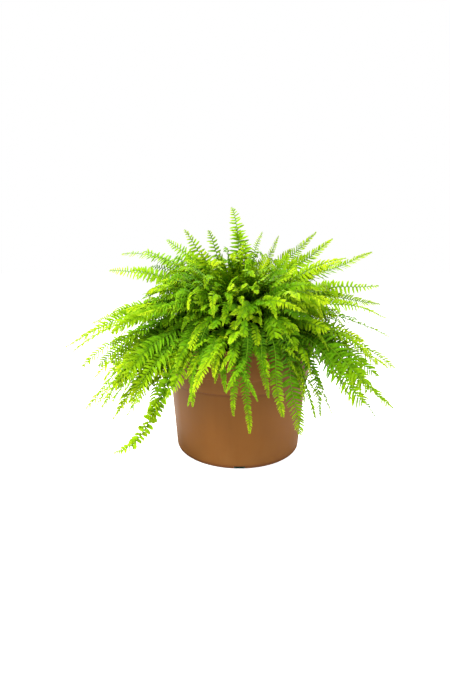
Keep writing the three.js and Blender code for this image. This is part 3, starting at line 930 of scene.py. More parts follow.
@dataclass
class Soil:
    """Dark peat mix with bark crumbs and pale grains, filled to below the rim.

    Sizes are pairs of the smallest and the largest half width, and flat is a height as a share of it.
    """

    pot: Pot
    gap: float = 0.3 * MM
    top: float = 176 * MM
    lump: float = 4.5 * MM
    lump_scale: float = 42.0
    calm_edge: float = 6 * MM
    bare_edge: float = 5 * MM
    steps: int = 120
    rings: int = 34
    crumbs: int = 520
    crumb_sizes: tuple[float, float] = (0.9 * MM, 4.2 * MM)
    crumb_flat: float = 0.55
    grains: int = 130
    grain_sizes: tuple[float, float] = (0.7 * MM, 1.9 * MM)
    grain_flat: float = 0.9
    finish: GroundFinish = GroundFinish("peat", (0.012, 0.008, 0.005), (0.045, 0.027, 0.016),
                                        (0.12, 0.075, 0.045), 260.0, 900.0, 0.0009)
    bark: GroundFinish = GroundFinish("bark_crumb", (0.05, 0.028, 0.014), (0.13, 0.075, 0.04),
                                      (0.25, 0.16, 0.09), 300.0, 1400.0, 0.0004)
    grain: GroundFinish = GroundFinish("pale_grain", (0.45, 0.43, 0.38), (0.68, 0.66, 0.60),
                                       (0.80, 0.79, 0.75), 500.0, 2000.0, 0.0002)

    def level(self, x: float, y: float) -> float:
        """Find the height of the soil's surface.

        Args:
            x: The place across.
            y: The place in depth.

        Returns:
            The height there.
        """
        edge = self.pot.inner_radius(self.top) - self.gap
        calm = min(1.0, max(0.0, (edge - math.hypot(x, y)) / self.calm_edge))
        return self.top + calm * crumble(Vector((x, y, 0.3)), self.lump, self.lump_scale)

    def body(self) -> bpy.types.Object:
        """Turn the soil as one closed body and roughen its top.

        Returns:
            The body.
        """
        floor = self.pot.floor_top + self.gap
        sides = [
            (self.pot.inner_radius(level) - self.gap, level)
            for level in (floor, self.pot.band_bottom, self.pot.band_bottom + MM, self.top)
        ]
        edge = sides[-1][0]
        rings = [(edge * (1 - ring / self.rings), self.top) for ring in range(1, self.rings + 1)]
        soil = lathe("potting_soil", [(0, floor), *sides, *rings], self.steps)
        for vertex in soil.data.vertices:
            if vertex.co.z > self.top - 0.01 * MM:
                vertex.co.z = self.level(vertex.co.x, vertex.co.y)
        smooth(soil, 50.0)
        return soil

    def scattered(self, name: str, count: int, sizes: tuple[float, float], flat: float,
                  seed: int) -> bpy.types.Object:
        """Scatter copies of a rough pebble over the soil, each half sunk in it.

        Args:
            name: The piece's name.
            count: How many copies there are.
            sizes: The smallest and largest half width.
            flat: The height of a copy as a share of its width.
            seed: The seed of the draw.

        Returns:
            The copies as one piece.
        """
        clear_selection()
        bpy.ops.mesh.primitive_ico_sphere_add(subdivisions=1, radius=1.0, location=(0, 0, 0))
        pebble = rename("pebble")
        shape = np.array([
            vertex.co * (1 + 0.4 * noise.noise(vertex.co * 1.7)) for vertex in pebble.data.vertices
        ])
        faces = np.array([face.vertices[:] for face in pebble.data.polygons])
        bpy.data.objects.remove(pebble)
        draw = np.random.default_rng(seed)
        store = MeshStore()
        edge = self.pot.inner_radius(self.top) - self.bare_edge
        for _ in range(count):
            radius = edge * math.sqrt(draw.uniform(0.02, 1.0))
            turn = draw.uniform(0, 2 * math.pi)
            size = sizes[0] + (sizes[1] - sizes[0]) * draw.uniform() ** 2
            turned = shape @ upright_spin(draw.uniform(0, 2 * math.pi))
            x, y = radius * math.cos(turn), radius * math.sin(turn)
            spot = np.array([x, y, self.level(x, y) + 0.25 * size * flat])
            stretch = np.array([draw.uniform(0.8, 1.6), draw.uniform(0.6, 1.0), flat])
            store.add((turned * stretch * size + spot)[None], [faces], {})
        return store.build(name)

    def build(self) -> list[bpy.types.Object]:
        """Make the soil, and lay its crumbs and grains on it.

        Returns:
            The soil's body, the crumbs and the grains.
        """
        soil = self.body()
        finish_piece(soil, self.finish.material(), ["soil"])
        crumbs = self.scattered("bark_crumbs", self.crumbs, self.crumb_sizes, self.crumb_flat, SEED + 1)
        finish_piece(crumbs, self.bark.material(), [])
        grains = self.scattered("pale_grains", self.grains, self.grain_sizes, self.grain_flat, SEED + 2)
        finish_piece(grains, self.grain.material(), [])
        return [soil, crumbs, grains]


def tube(path: np.ndarray, radii: np.ndarray, sides: int) -> tuple[np.ndarray, list[np.ndarray]]:
    """Sweep a round section along a path and close both ends.

    Args:
        path: The points of the path.
        radii: The radius at each point.
        sides: The number of sides of the section.

    Returns:
        The points, as one copy, and the faces.
    """
    ahead = np.gradient(path, axis=0)
    ahead /= np.linalg.norm(ahead, axis=1, keepdims=True)
    side = np.cross(ahead, (0.31, 0.17, 0.94))
    side /= np.linalg.norm(side, axis=1, keepdims=True)
    up = np.cross(side, ahead)
    turns = 2 * math.pi * np.arange(sides) / sides
    ring = side[:, None] * np.cos(turns)[None, :, None] - up[:, None] * np.sin(turns)[None, :, None]
    points = path[:, None] + ring * radii[:, None, None]
    number = np.arange(len(path) * sides).reshape(len(path), sides)
    after = np.roll(number, -1, axis=1)
    quads = np.stack([number[:-1], after[:-1], after[1:], number[1:]], axis=2).reshape(-1, 4)
    ends = np.stack([number[0][::-1], number[-1]])
    return points.reshape(1, -1, 3), [quads, ends]


@dataclass
class Crown:
    """The knobbly woody clump that the fronds grow from, with brown scales and rolled young fronds.

    A rolled frond has a straight stem and then a coil. The coil turn is the angle between two of its points,
    and its radius would shrink to nothing at the coil limit. Pairs are the least and the greatest value.
    """

    radius: float = 60 * MM
    bottom: float = 170 * MM
    edge: float = 181 * MM
    flat_radius: float = 34 * MM
    top: float = 190 * MM
    lump: float = 5 * MM
    lump_scale: float = 75.0
    steps: int = 96
    rings: int = 22
    scales: int = 900
    scale_length: float = 6.5 * MM
    croziers: int = 14
    stem_steps: int = 8
    stem_lengths: tuple[float, float] = (22 * MM, 60 * MM)
    stem_lean: float = 0.12
    coil_points: int = 25
    coil_limit: int = 30
    coil_radii: tuple[float, float] = (4 * MM, 7 * MM)
    coil_turn: float = 0.36
    stalk_sides: int = 7
    finish: GroundFinish = GroundFinish("rootstock_bark", (0.03, 0.017, 0.009), (0.10, 0.058, 0.03),
                                        (0.22, 0.15, 0.08), 240.0, 1100.0, 0.0008)

    def level(self, radius: float) -> float:
        """Return the height of the crown's smooth top at a distance from the axis."""
        share = max(0.0, radius - self.flat_radius) / (self.radius - self.flat_radius)
        return self.top + (self.edge - self.top) * min(1.0, share)

    def build(self) -> list[bpy.types.Object]:
        """Turn the crown as one closed body, make it knobbly and stand its scales on it.

        Returns:
            The crown and its scales.
        """
        rings = [(self.radius * (1 - ring / self.rings)) for ring in range(1, self.rings + 1)]
        profile = [(0, self.bottom), (self.radius, self.bottom), (self.radius, self.edge)]
        crown = lathe("rootstock", profile + [(radius, self.level(radius)) for radius in rings], self.steps)
        for vertex in crown.data.vertices:
            if vertex.co.z > self.edge - MM:
                vertex.co.z += crumble(vertex.co, self.lump, self.lump_scale)
        smooth(crown, 60.0)
        finish_piece(crown, self.finish.material(), ["crown"])
        return [crown, self.build_scales()]

    def build_scales(self) -> bpy.types.Object:
        """Stand thin brown scales on the crown.

        Returns:
            The scales as one piece.
        """
        draw = np.random.default_rng(SEED + 3)
        store = MeshStore()
        shape = np.array([
            (-0.5, 0, 0), (0.5, 0, 0), (0, 0.25, 0), (0.42, 0.1, 0.5), (-0.42, 0.1, 0.5), (0, 0, 1.0),
        ])
        faces = np.array([
            (0, 1, 3), (0, 3, 4), (4, 3, 5), (1, 2, 3), (2, 0, 4), (3, 2, 5), (2, 4, 5), (1, 0, 2),
        ])
        for _ in range(self.scales):
            radius = self.radius * math.sqrt(draw.uniform(0.0, 0.98))
            turn = draw.uniform(0, 2 * math.pi)
            spin, lean = draw.uniform(0, 2 * math.pi), draw.uniform(0.2, 1.0)
            size = self.scale_length * draw.uniform(0.5, 1.1)
            stretch = np.array([size * 0.24, size * 0.3, size])
            points = shape * stretch
            points[:, 0] += points[:, 2] * lean
            spot = np.array([radius * math.cos(turn), radius * math.sin(turn), self.level(radius) - MM])
            store.add((points @ upright_spin(spin) + spot)[None], [faces], {})
        scales = store.build("rootstock_scales")
        finish_piece(scales, self.finish.material(), [])
        return scales

    def build_croziers(self, material: bpy.types.Material) -> bpy.types.Object:
        """Stand the rolled young fronds among the stalks.

        Args:
            material: The leaf material.

        Returns:
            The rolled fronds as one piece.
        """
        draw = np.random.default_rng(SEED + 4)
        store = MeshStore()
        stem_points, coil_points = self.stem_steps + 1, self.coil_points
        thin = (np.linspace(1.5, 1.2, stem_points), np.linspace(1.25, 0.5, coil_points))
        brown = (np.linspace(1.0, 0.6, stem_points), np.linspace(0.5, 0.45, coil_points))
        radii = np.concatenate(thin) * MM
        stalk = np.repeat(np.concatenate(brown), self.stalk_sides)
        marks = {Mark.STALK: stalk[None], Mark.AGE: np.full((1, 1), 0.2)}
        for number in range(self.croziers):
            turn = 2 * math.pi * (number + draw.uniform(0, 0.5)) / self.croziers
            radius = self.radius * draw.uniform(0.25, 0.9)
            tall, coil = draw.uniform(*self.stem_lengths), draw.uniform(*self.coil_radii)
            heading = Vector((math.cos(turn), math.sin(turn), 0))
            root = heading * radius + Vector((0, 0, self.level(radius) - 2 * MM))
            path = []
            for step in range(stem_points):
                share = step / self.stem_steps
                path.append(root + Vector((0, 0, tall * share)) + heading * tall * self.stem_lean * share**2)
            centre = path[-1] + heading * coil
            for step in range(1, coil_points + 1):
                angle = step * self.coil_turn
                spoke = Vector((0, 0, math.sin(angle))) - heading * math.cos(angle)
                path.append(centre + coil * (1 - step / self.coil_limit) * spoke)
            points, faces = tube(np.array(path), radii, self.stalk_sides)
            store.add(points, faces, marks)
        croziers = store.build("rolled_young_fronds")
        finish_piece(croziers, material, [])
        return croziers


# Fronds


@dataclass
class LeafletForm:
    """One leaflet, modelled with its length along X, its fore edge along Y and its upper face along Z."""

    points: np.ndarray
    quads: np.ndarray
    triangles: np.ndarray


@dataclass
class LeafletModel:
    """Models a leaflet as a lens-shaped section, extruded from the rib to the tip.

    Each station gives the place along the leaflet, the half width, the shift towards the fore edge and
    the half thickness, as shares of the length, the breadth, the breadth and the thickness.
    """

    stations: Sequence[tuple[float, float, float, float]]

    def build(self) -> LeafletForm:
        """Model the leaflet and read its form.

        Returns:
            Its points and faces.
        """
        clear_selection()
        bpy.ops.mesh.primitive_circle_add(vertices=4, radius=1.0, fill_type="NGON",
                                          rotation=(0, math.pi / 2, 0))
        bpy.ops.object.transform_apply(location=True, rotation=True, scale=True)
        bpy.ops.object.mode_set(mode="EDIT")
        place, half, shift, thick = self.stations[0]
        bpy.ops.transform.resize(value=(1, half, thick), center_override=(0, 0, 0))
        bpy.ops.transform.translate(value=(place, shift, 0))
        for next_place, next_half, next_shift, next_thick in self.stations[1:]:
            extrude((next_place - place, next_shift - shift, 0))
            size = (1, next_half / half, next_thick / thick)
            bpy.ops.transform.resize(value=size, center_override=(next_place, next_shift, 0))
            place, half, shift, thick = next_place, next_half, next_shift, next_thick
        extrude((1.0 - place, 0, 0))
        bpy.ops.mesh.merge(type="CENTER")
        bpy.ops.mesh.select_all(action="SELECT")
        bpy.ops.mesh.normals_make_consistent(inside=False)
        bpy.ops.object.mode_set(mode="OBJECT")
        leaflet = rename("leaflet")
        faces = [tuple(face.vertices) for face in leaflet.data.polygons]
        form = LeafletForm(
            np.array([vertex.co[:] for vertex in leaflet.data.vertices]),
            np.array([face for face in faces if len(face) == 4]),
            np.array([face for face in faces if len(face) == 3]),
        )
        bpy.data.objects.remove(leaflet)
        return form


BROAD_LEAFLET = LeafletModel((
    (0.0, 0.16, 0.03, 1.0), (0.07, 0.50, 0.15, 0.9), (0.24, 0.46, 0.04, 0.75),
    (0.47, 0.46, 0.0, 0.65), (0.70, 0.38, 0.0, 0.5), (0.88, 0.22, 0.02, 0.35),
))
SMALL_LEAFLET = LeafletModel((
    (0.0, 0.18, 0.03, 1.0), (0.10, 0.50, 0.12, 0.9), (0.42, 0.47, 0.02, 0.7), (0.76, 0.34, 0.0, 0.5),
))
SLIM_LEAFLET = LeafletModel(((0.0, 0.20, 0.03, 1.0), (0.18, 0.50, 0.10, 0.85), (0.62, 0.43, 0.0, 0.6)))


@dataclass(frozen=True)
class Habit:
    """How a frond's leaflets stand.

    The pitch grows with the leaflets' length, and their breadth is a share of the pitch. Droop, lift and
    sweep are shares of their length, and ripple is a share of their breadth. The twist, in degrees,
    raises the fore edges. Ruffle is how unevenly the leaflets stand, and the roll, in degrees, is how far
    the whole blade turns about its rib. Tip reach is the share of the solid's reach that the leaflets
    keep at the tip, forward is how far they lean towards it, and width is their share of that reach.
    The age and shade fade is how much fresher and lighter the frond gets from its root to its tip: partly its
    age, and partly painted shade on the parts near the root, which lie inside the foliage.
    """

    least_pitch: float = 2.2 * MM
    pitch_share: float = 0.23
    breadth: float = 0.70
    droop: float = 0.12
    lift: float = 0.16
    sweep: float = 0.14
    ripple: float = 0.20
    twist: float = 24.0
    ruffle: float = 0.20
    roll: float = 24.0
    tip_reach: float = 0.5
    forward: float = 0.20
    width: float = 0.94
    fade: float = 0.0


class FrondHabit(Enum):
    """The habits that the fronds of this plant show."""

    FEATHERED = Habit(ripple=0.18, fade=0.2)
    BROAD = Habit(least_pitch=2.1 * MM, pitch_share=0.20, twist=26.0, roll=26.0, tip_reach=0.8, forward=0.18,
                  width=0.98, fade=0.3)
    SWEPT = Habit(least_pitch=2.0 * MM, pitch_share=0.24, droop=0.08, lift=0.14, sweep=0.16, ripple=0.14,
                  twist=16.0, roll=26.0, tip_reach=0.55, forward=0.46, width=0.80, fade=0.1)
    COMBED = Habit(least_pitch=1.9 * MM, pitch_share=0.20, breadth=0.74, droop=0.09, lift=0.15, sweep=0.12,
                   ripple=0.14, twist=20.0, ruffle=0.18, roll=28.0, tip_reach=0.4, forward=0.28, width=0.92,
                   fade=0.3)
    HANGING = Habit(breadth=0.76, droop=0.10, twist=22.0, ruffle=0.18, roll=20.0, tip_reach=1.1, forward=0.14,
                    width=0.96, fade=0.75)
    SPARSE = Habit(least_pitch=2.4 * MM, pitch_share=0.25, breadth=0.64, droop=0.10, lift=0.14, sweep=0.08,
                   ripple=0.12, twist=14.0, ruffle=0.15, roll=20.0, tip_reach=0.7, forward=-0.10, width=1.08)
    CHUNKY = Habit(least_pitch=2.9 * MM, pitch_share=0.32, breadth=1.0, droop=0.06, lift=0.14, sweep=0.02,
                   twist=20.0, ruffle=0.34, roll=44.0, tip_reach=1.15, forward=0.0, width=1.02)
    CURLED = Habit(least_pitch=2.0 * MM, pitch_share=0.21, breadth=0.86, droop=0.20, lift=0.24, ripple=0.32,
                   twist=26.0, ruffle=0.26, roll=42.0, tip_reach=0.35, width=0.88, fade=0.3)
    FILLING = Habit(pitch_share=0.24, breadth=0.96, droop=0.15, sweep=0.10, twist=28.0, ruffle=0.22,
                    roll=28.0, tip_reach=0.6, width=1.1)


@dataclass
class Rib:
    """The rib of one frond.

    Attributes:
        points: Its centre line from the root to the tip.
        marks: Places along the points, as fractional indices, where the leaflets' reach is known.
        sides: The direction to the left at each mark.
        widths: The leaflets' reach to either side at each mark.
    """

    points: np.ndarray
    marks: np.ndarray
    sides: np.ndarray
    widths: np.ndarray


class RibReader:
    """Finds the ribs in the solid of a frond or of a tuft of fronds.

    The solid's rings are the sections of its stalk. Between two rings stands a pair of leaflets, and each
    ends in an edge as long as the blade is thick.
    """

    crown_radius = 66 * MM
    crown_bottom = 165 * MM
    fused_height = 13.2 * MM
    least_points = 16
    blade = 0.6 * MM
    blade_slack = 0.03 * MM
    ring_size = 4.3 * MM
    root_length = 18 * MM

    def __init__(self, node: bpy.types.Object) -> None:
        """Merge a copy of the solid and cut off what is joined inside the crown.

        Args:
            node: The solid's object.
        """
        self.mesh = bmesh.new()
        self.mesh.from_mesh(node.data)
        bmesh.ops.remove_doubles(self.mesh, verts=self.mesh.verts, dist=0.01 * MM)
        inner = [
            vertex for vertex in self.mesh.verts
            if vertex.co.xy.length < self.crown_radius and vertex.co.z > self.crown_bottom
        ]
        limit = min(vertex.co.z for vertex in inner) + self.fused_height
        joined = [vertex for vertex in inner if vertex.co.z < limit]
        bmesh.ops.delete(self.mesh, geom=joined, context="VERTS")

    @staticmethod
    def reached(start: bmesh.types.BMVert,
                passes: Callable[[bmesh.types.BMEdge], bool]) -> set[bmesh.types.BMVert]:
        """Return the vertices that are reached from one over edges that pass a test.

        Args:
            start: The first vertex.
            passes: The test of an edge.

        Returns:
            The vertices reached.
        """
        found, todo = {start}, [start]
        while todo:
            vertex = todo.pop()
            for edge in vertex.link_edges:
                other = edge.other_vert(vertex)
                if other not in found and passes(edge):
                    found.add(other)
                    todo.append(other)
        return found

    def ribs(self) -> list[Rib]:
        """Part the solid into its fronds and follow each.

        Returns:
            The rib of each frond.
        """
        left = set(self.mesh.verts)
        ribs = []
        while left:
            group = self.reached(min(left, key=lambda vertex: vertex.index), lambda edge: True)
            left -= group
            if len(group) > self.least_points:
                ribs.append(self.rib_of(group))
        self.mesh.free()
        return ribs

    def rings_of(self, points: set[bmesh.types.BMVert],
                 tips: set[bmesh.types.BMVert]) -> list[set[bmesh.types.BMVert]]:
        """Find the rings of one frond, whose points are joined by short edges.

        Args:
            points: The frond's points.
            tips: Those at the ends of its leaflets, which are in no ring.

        Returns:
            The points of each ring.
        """

        def is_short(edge: bmesh.types.BMEdge) -> bool:
            """Tell whether an edge runs within a ring."""
            return edge.calc_length() < self.ring_size and not tips.intersection(edge.verts)

        rings: list[set] = []
        seen: set = set()
        for vertex in points - tips:
            if vertex not in seen:
                rings.append(self.reached(vertex, is_short))
                seen |= rings[-1]
        return rings

    def rib_of(self, group: set[bmesh.types.BMVert]) -> Rib:
        """Follow the rings of one frond from its tip to its root.

        Args:
            group: The frond's points.

        Returns:
            Its rib.
        """
        edges = {edge for vertex in group for edge in vertex.link_edges}
        tips = [edge for edge in edges if abs(edge.calc_length() - self.blade) < self.blade_slack]
        rings = self.rings_of(group, {vertex for edge in tips for vertex in edge.verts})
        ring_of = {vertex: number for number, ring in enumerate(rings) for vertex in ring}
        centres = [sum((vertex.co for vertex in ring), Vector()) / len(ring) for ring in rings]
        links: dict[int, set[int]] = {number: set() for number in range(len(rings))}
        for edge in edges - set(tips):
            ends = {ring_of[vertex] for vertex in edge.verts if vertex in ring_of}
            for number in ends:
                links[number] |= ends - {number}
        pairs: dict[frozenset[int], list[Vector]] = {}
        for tip in tips:
            others = {edge.other_vert(vertex) for vertex in tip.verts for edge in vertex.link_edges}
            beside = frozenset(ring_of[other] for other in others if other in ring_of)
            pairs.setdefault(beside, []).append((tip.verts[0].co + tip.verts[1].co) / 2)
        last = next(min(key) for key in pairs if len(key) == 1)
        chain = [last]
        while following := links[chain[-1]] - set(chain):
            chain.append(min(following, key=lambda number: (centres[number] - centres[chain[-1]]).length))
        chain.reverse()
        points = [centres[number] for number in chain] + [pairs[frozenset({last})][0]]
        first, second = (points[1] - points[0]).normalized(), (points[2] - points[1]).normalized()
        root = points[0] - (first * 1.5 - second * 0.5).normalized() * self.root_length
        marks, sides, widths = [], [], []
        for place, (here, there) in enumerate(zip(chain, chain[1:])):
            ends = pairs.get(frozenset({here, there}), [])
            if len(ends) != 2:
                continue
            middle = (centres[here] + centres[there]) / 2
            along = (centres[there] - centres[here]).normalized()
            side = (ends[0] - ends[1]).normalized()
            if along.cross(side).dot((ends[0] + ends[1]) / 2 - middle) > 0:
                side.negate()
            marks.append(place + 1.5)
            sides.append(side)
            widths.append((ends[0] - ends[1]).length / 2)
        return Rib(np.array([root, *points]), np.array(marks), np.array(sides), np.array(widths))


def smooth_path(points: np.ndarray, fineness: int) -> tuple[np.ndarray, np.ndarray]:
    """Draw a smooth curve through points.

    Args:
        points: The points that it passes.
        fineness: How many steps there are between two points.

    Returns:
        The curve's points, and the distance along it of each.
    """
    chords = np.linalg.norm(np.diff(points, axis=0), axis=1)
    slopes = np.diff(points, axis=0) / chords[:, None]
    weight = (chords[:-1] / (chords[:-1] + chords[1:]))[:, None]
    tangents = np.concatenate([slopes[:1], slopes[:-1] * (1 - weight) + slopes[1:] * weight, slopes[-1:]])
    t = (np.arange(fineness) / fineness)[None, :, None]
    start, end = points[:-1, None], points[1:, None]
    from_slope = (tangents[:-1] * chords[:, None])[:, None]
    to_slope = (tangents[1:] * chords[:, None])[:, None]
    curve = (
        (2 * t**3 - 3 * t**2 + 1) * start + (t**3 - 2 * t**2 + t) * from_slope
        + (3 * t**2 - 2 * t**3) * end + (t**3 - t**2) * to_slope
    )
    path = np.concatenate([curve.reshape(-1, 3), points[-1:]])
    lengths = np.concatenate([[0.0], np.cumsum(np.linalg.norm(np.diff(path, axis=0), axis=1))])
    return path, lengths


def sampled(at: np.ndarray, places: np.ndarray, rows: np.ndarray) -> np.ndarray:
    """Read rows of vectors at places between them.

    Args:
        at: Where to read.
        places: The place of each row, rising.
        rows: The rows.

    Returns:
        One vector for each place read.
    """
    return np.stack([np.interp(at, places, rows[:, axis]) for axis in range(3)], axis=1)


def unit(rows: np.ndarray) -> np.ndarray:
    """Return rows of vectors at a length of one."""
    return rows / np.linalg.norm(rows, axis=1, keepdims=True)


@dataclass
class Frond:
    """One fine frond on a rib: a thin tapering stalk with leaflets on both sides."""

    rib: Rib
    habit: FrondHabit
    age: float
    draw: np.random.Generator
    fineness: int = 24
    first_leaflet: float = 20 * MM
    first_width: float = 4.5 * MM
    full_width: float = 24 * MM
    broad_reach: float = 8 * MM
    root_radius: float = 1.35 * MM
    tip_radius: float = 0.35 * MM
    stalk_step: float = 6 * MM
    stalk_sides: int = 6
    brown_length: float = 70 * MM
    thickness: float = 0.22 * MM
    sway: float = 0.012
    roll_length: float = 38 * MM
    root_age_and_shade: float = 0.65
    tip_freshness: float = 0.3
    path: np.ndarray = field(init=False)
    lengths: np.ndarray = field(init=False)
    length: float = field(init=False)
    roll_phase: float = field(init=False)
    side_places: np.ndarray = field(init=False)
    width_places: np.ndarray = field(init=False)
    widths: np.ndarray = field(init=False)

    def __post_init__(self) -> None:
        """Draw the rib's curve, sway it a little, and find where its leaflets' reach is known."""
        self.path, self.lengths = smooth_path(self.rib.points, self.fineness)
        index = np.arange(len(self.path)) / self.fineness
        self.length = self.lengths[-1]
        share = self.lengths / self.length
        wave = np.sin(2 * math.pi * (share * self.draw.uniform(1.2, 2.2) + self.draw.uniform()))
        aside = self.sway * self.length * wave * np.clip(share * 4, 0, 1)
        self.path += aside[:, None] * self.rib.sides.mean(axis=0)
        self.roll_phase = self.draw.uniform(0, 2 * math.pi)
        self.side_places = np.interp(self.rib.marks, index, self.lengths)
        first = min(self.first_width, self.rib.widths[0])
        self.width_places = np.array([0.0, self.first_leaflet, *self.side_places, self.length])
        self.widths = np.array([first, first, *self.rib.widths, 0.3 * self.rib.widths[-1]])

    def vary(self, size: float, count: int) -> np.ndarray:
        """Draw a row of numbers that lie up to a size below or above zero."""
        return self.draw.uniform(-size, size, count)

    def leaflet_places(self) -> np.ndarray:
        """Step along the rib from one pair of leaflets to the next.

        Returns:
            The distances along the rib at which the pairs stand.
        """
        habit = self.habit.value
        places = []
        at = self.first_leaflet * self.draw.uniform(0.8, 1.2)
        while at < self.length - 1.2 * MM:
            places.append(at)
            at += habit.least_pitch + habit.pitch_share * self.reach_at(at)
        return np.array(places)

    def frames(self, at: np.ndarray) -> tuple[np.ndarray, np.ndarray, np.ndarray, np.ndarray]:
        """Find the rib's places and directions.

        Args:
            at: Distances along the rib.

        Returns:
            The places, and the directions ahead, to the left and up.
        """
        spots = sampled(at, self.lengths, self.path)
        step = 1.5 * MM
        before = sampled(np.clip(at - step, 0, self.length), self.lengths, self.path)
        after = sampled(np.clip(at + step, 0, self.length), self.lengths, self.path)
        ahead = unit(after - before)
        side = sampled(at, self.side_places, self.rib.sides)
        side = unit(side - ahead * np.sum(side * ahead, axis=1, keepdims=True))
        up = np.cross(ahead, side)
        roll = np.radians(self.habit.value.roll) * np.sin(self.roll_phase + at / self.roll_length)[:, None]
        return spots, ahead, side * np.cos(roll) + up * np.sin(roll), up * np.cos(roll) - side * np.sin(roll)

    def reach_at(self, at: np.ndarray) -> np.ndarray:
        """Return how far the leaflets reach to one side at distances along the rib."""
        gain = 1 + (self.habit.value.tip_reach - 1) * (at / self.length) ** 3
        return np.interp(at, self.width_places, self.widths) * gain * self.habit.value.width

    def add_stalk(self, store: MeshStore) -> None:
        """Add the stalk and rib, brown at the root and green above it.

        Args:
            store: The mesh that they go into.
        """
        at = np.linspace(0, self.length, max(10, int(self.length / self.stalk_step)))
        share = at / self.length
        radii = self.root_radius + (self.tip_radius - self.root_radius) * share**0.75
        radii *= 0.75 + 0.25 * self.rib.widths.max() / self.full_width
        points, faces = tube(sampled(at, self.lengths, self.path), radii, self.stalk_sides)
        brown = 0.5 + 0.5 * np.clip(1 - at / self.brown_length, 0, 1) ** 1.4
        stalk = np.repeat(brown, self.stalk_sides)
        store.add(points, faces, {Mark.STALK: stalk[None], Mark.AGE: np.full((1, 1), self.age)})

    def add_leaflets(self, store: MeshStore, forms: Sequence[LeafletForm]) -> None:
        """Add the leaflets of both sides.

        Args:
            store: The mesh that they go into.
            forms: The leaflet where the frond is broad, and the one where it is narrow.
        """
        pairs = self.leaflet_places()
        pitch = np.gradient(pairs)
        for hand in (1.0, -1.0):
            shift = pitch * (0.25 * hand + 0.25 + self.vary(0.07, len(pairs)))
            at = np.clip(pairs + shift, 0, self.length - 0.8 * MM)
            reach = self.reach_at(at) * (1 + self.vary(0.09, len(pairs)))
            broad = reach >= self.broad_reach
            for form, chosen in zip(forms, (broad, ~broad)):
                if chosen.any():
                    self.add_side(store, form, hand, at[chosen], reach[chosen], pitch[chosen])

    def add_side(self, store: MeshStore, form: LeafletForm, hand: float, at: np.ndarray, reach: np.ndarray,
                 pitch: np.ndarray) -> None:
        """Add bent copies of one leaflet along one side of the rib.

        Args:
            store: The mesh that they go into.
            form: The leaflet.
            hand: 1 on the left of the rib and -1 on its right.
            at: Where each copy stands along the rib.
            reach: How far each one reaches sideways.
            pitch: The distance between leaflets there.
        """
        habit, count = self.habit.value, len(at)
        spots, ahead, side, up = self.frames(at)
        share = at / self.length
        forward = habit.forward + 0.26 * share + 0.4 * np.clip(share - 0.8, 0, 1) / 0.2
        forward += self.vary(habit.ruffle, count)
        rise = self.vary(1.6 * habit.ruffle, count)
        out = unit(side * hand + ahead * forward[:, None] + up * rise[:, None])
        length = reach * np.sqrt(1 + forward**2)
        fore = unit(ahead - out * np.sum(ahead * out, axis=1, keepdims=True))
        raised = np.cross(out, fore) * hand
        twist = habit.twist * (1 + self.vary(0.4, count)) + self.vary(90 * habit.ruffle, count)
        cos, sin = np.cos(np.radians(twist))[:, None], np.sin(np.radians(twist))[:, None]
        fore, raised = fore * cos + raised * sin, raised * cos - fore * sin
        breadth = pitch * habit.breadth * (1 + self.vary(0.08, count))
        x, y, z = form.points.T
        across = np.abs(y) / 0.5
        droop = habit.droop * (1 + self.vary(0.35, count)) * (0.8 + 0.5 * share)
        lift = habit.lift * (1 + self.vary(0.4, count))
        sweep = habit.sweep * (1 + self.vary(0.5, count))
        wave = habit.ripple * np.sin(x[None] * 17 + self.vary(3.0, count)[:, None]) * across[None]
        fall = 0.4 * up + np.array([0, 0, 0.75])
        points = (
            spots[:, None] + out[:, None] * (length[:, None] * x)[..., None]
            + fore[:, None] * (breadth[:, None] * y + (sweep * length)[:, None] * x**2)[..., None]
            + up[:, None] * (length[:, None] * lift[:, None] * (x - x**2))[..., None]
            - fall[:, None] * (length[:, None] * droop[:, None] * x**2)[..., None]
            + raised[:, None] * (self.thickness * z + breadth[:, None] * wave)[..., None]
        )
        # Leaflets are older and darker towards the frond's root, partly by age and partly as painted shade on
        # the inner parts; the fade adds more of both, and the tips are fresher by age
        age = self.age + self.root_age_and_shade * (1 - share) ** 1.2 - self.tip_freshness * share**2
        age += habit.fade * (0.62 - share) + self.vary(0.08, count)
        table = (count, len(x))
        marks = {
            Mark.ALONG: np.broadcast_to(x, table),
            Mark.ACROSS: np.broadcast_to(np.clip(across, 0, 1), table),
            Mark.AGE: np.broadcast_to(age[:, None], table),
            Mark.UNDER: np.broadcast_to((z < -0.05).astype(float), table),
        }
        faces = [form.quads, form.triangles]
        if hand < 0:
            faces = [corners[:, ::-1] for corners in faces]
        store.add(points, faces, marks)

    def add_to(self, store: MeshStore, forms: Sequence[LeafletForm]) -> None:
        """Add the whole frond to a mesh, with the leaflets for its broad and its narrow parts."""
        self.add_stalk(store)
        self.add_leaflets(store, forms)


# The points of a short frond's rib, and the places along them where its leaflets' reach is given
ARCH_POINTS = 7
ARCH_MARKS = np.array([1.5, 3.0, 4.5, 5.6])


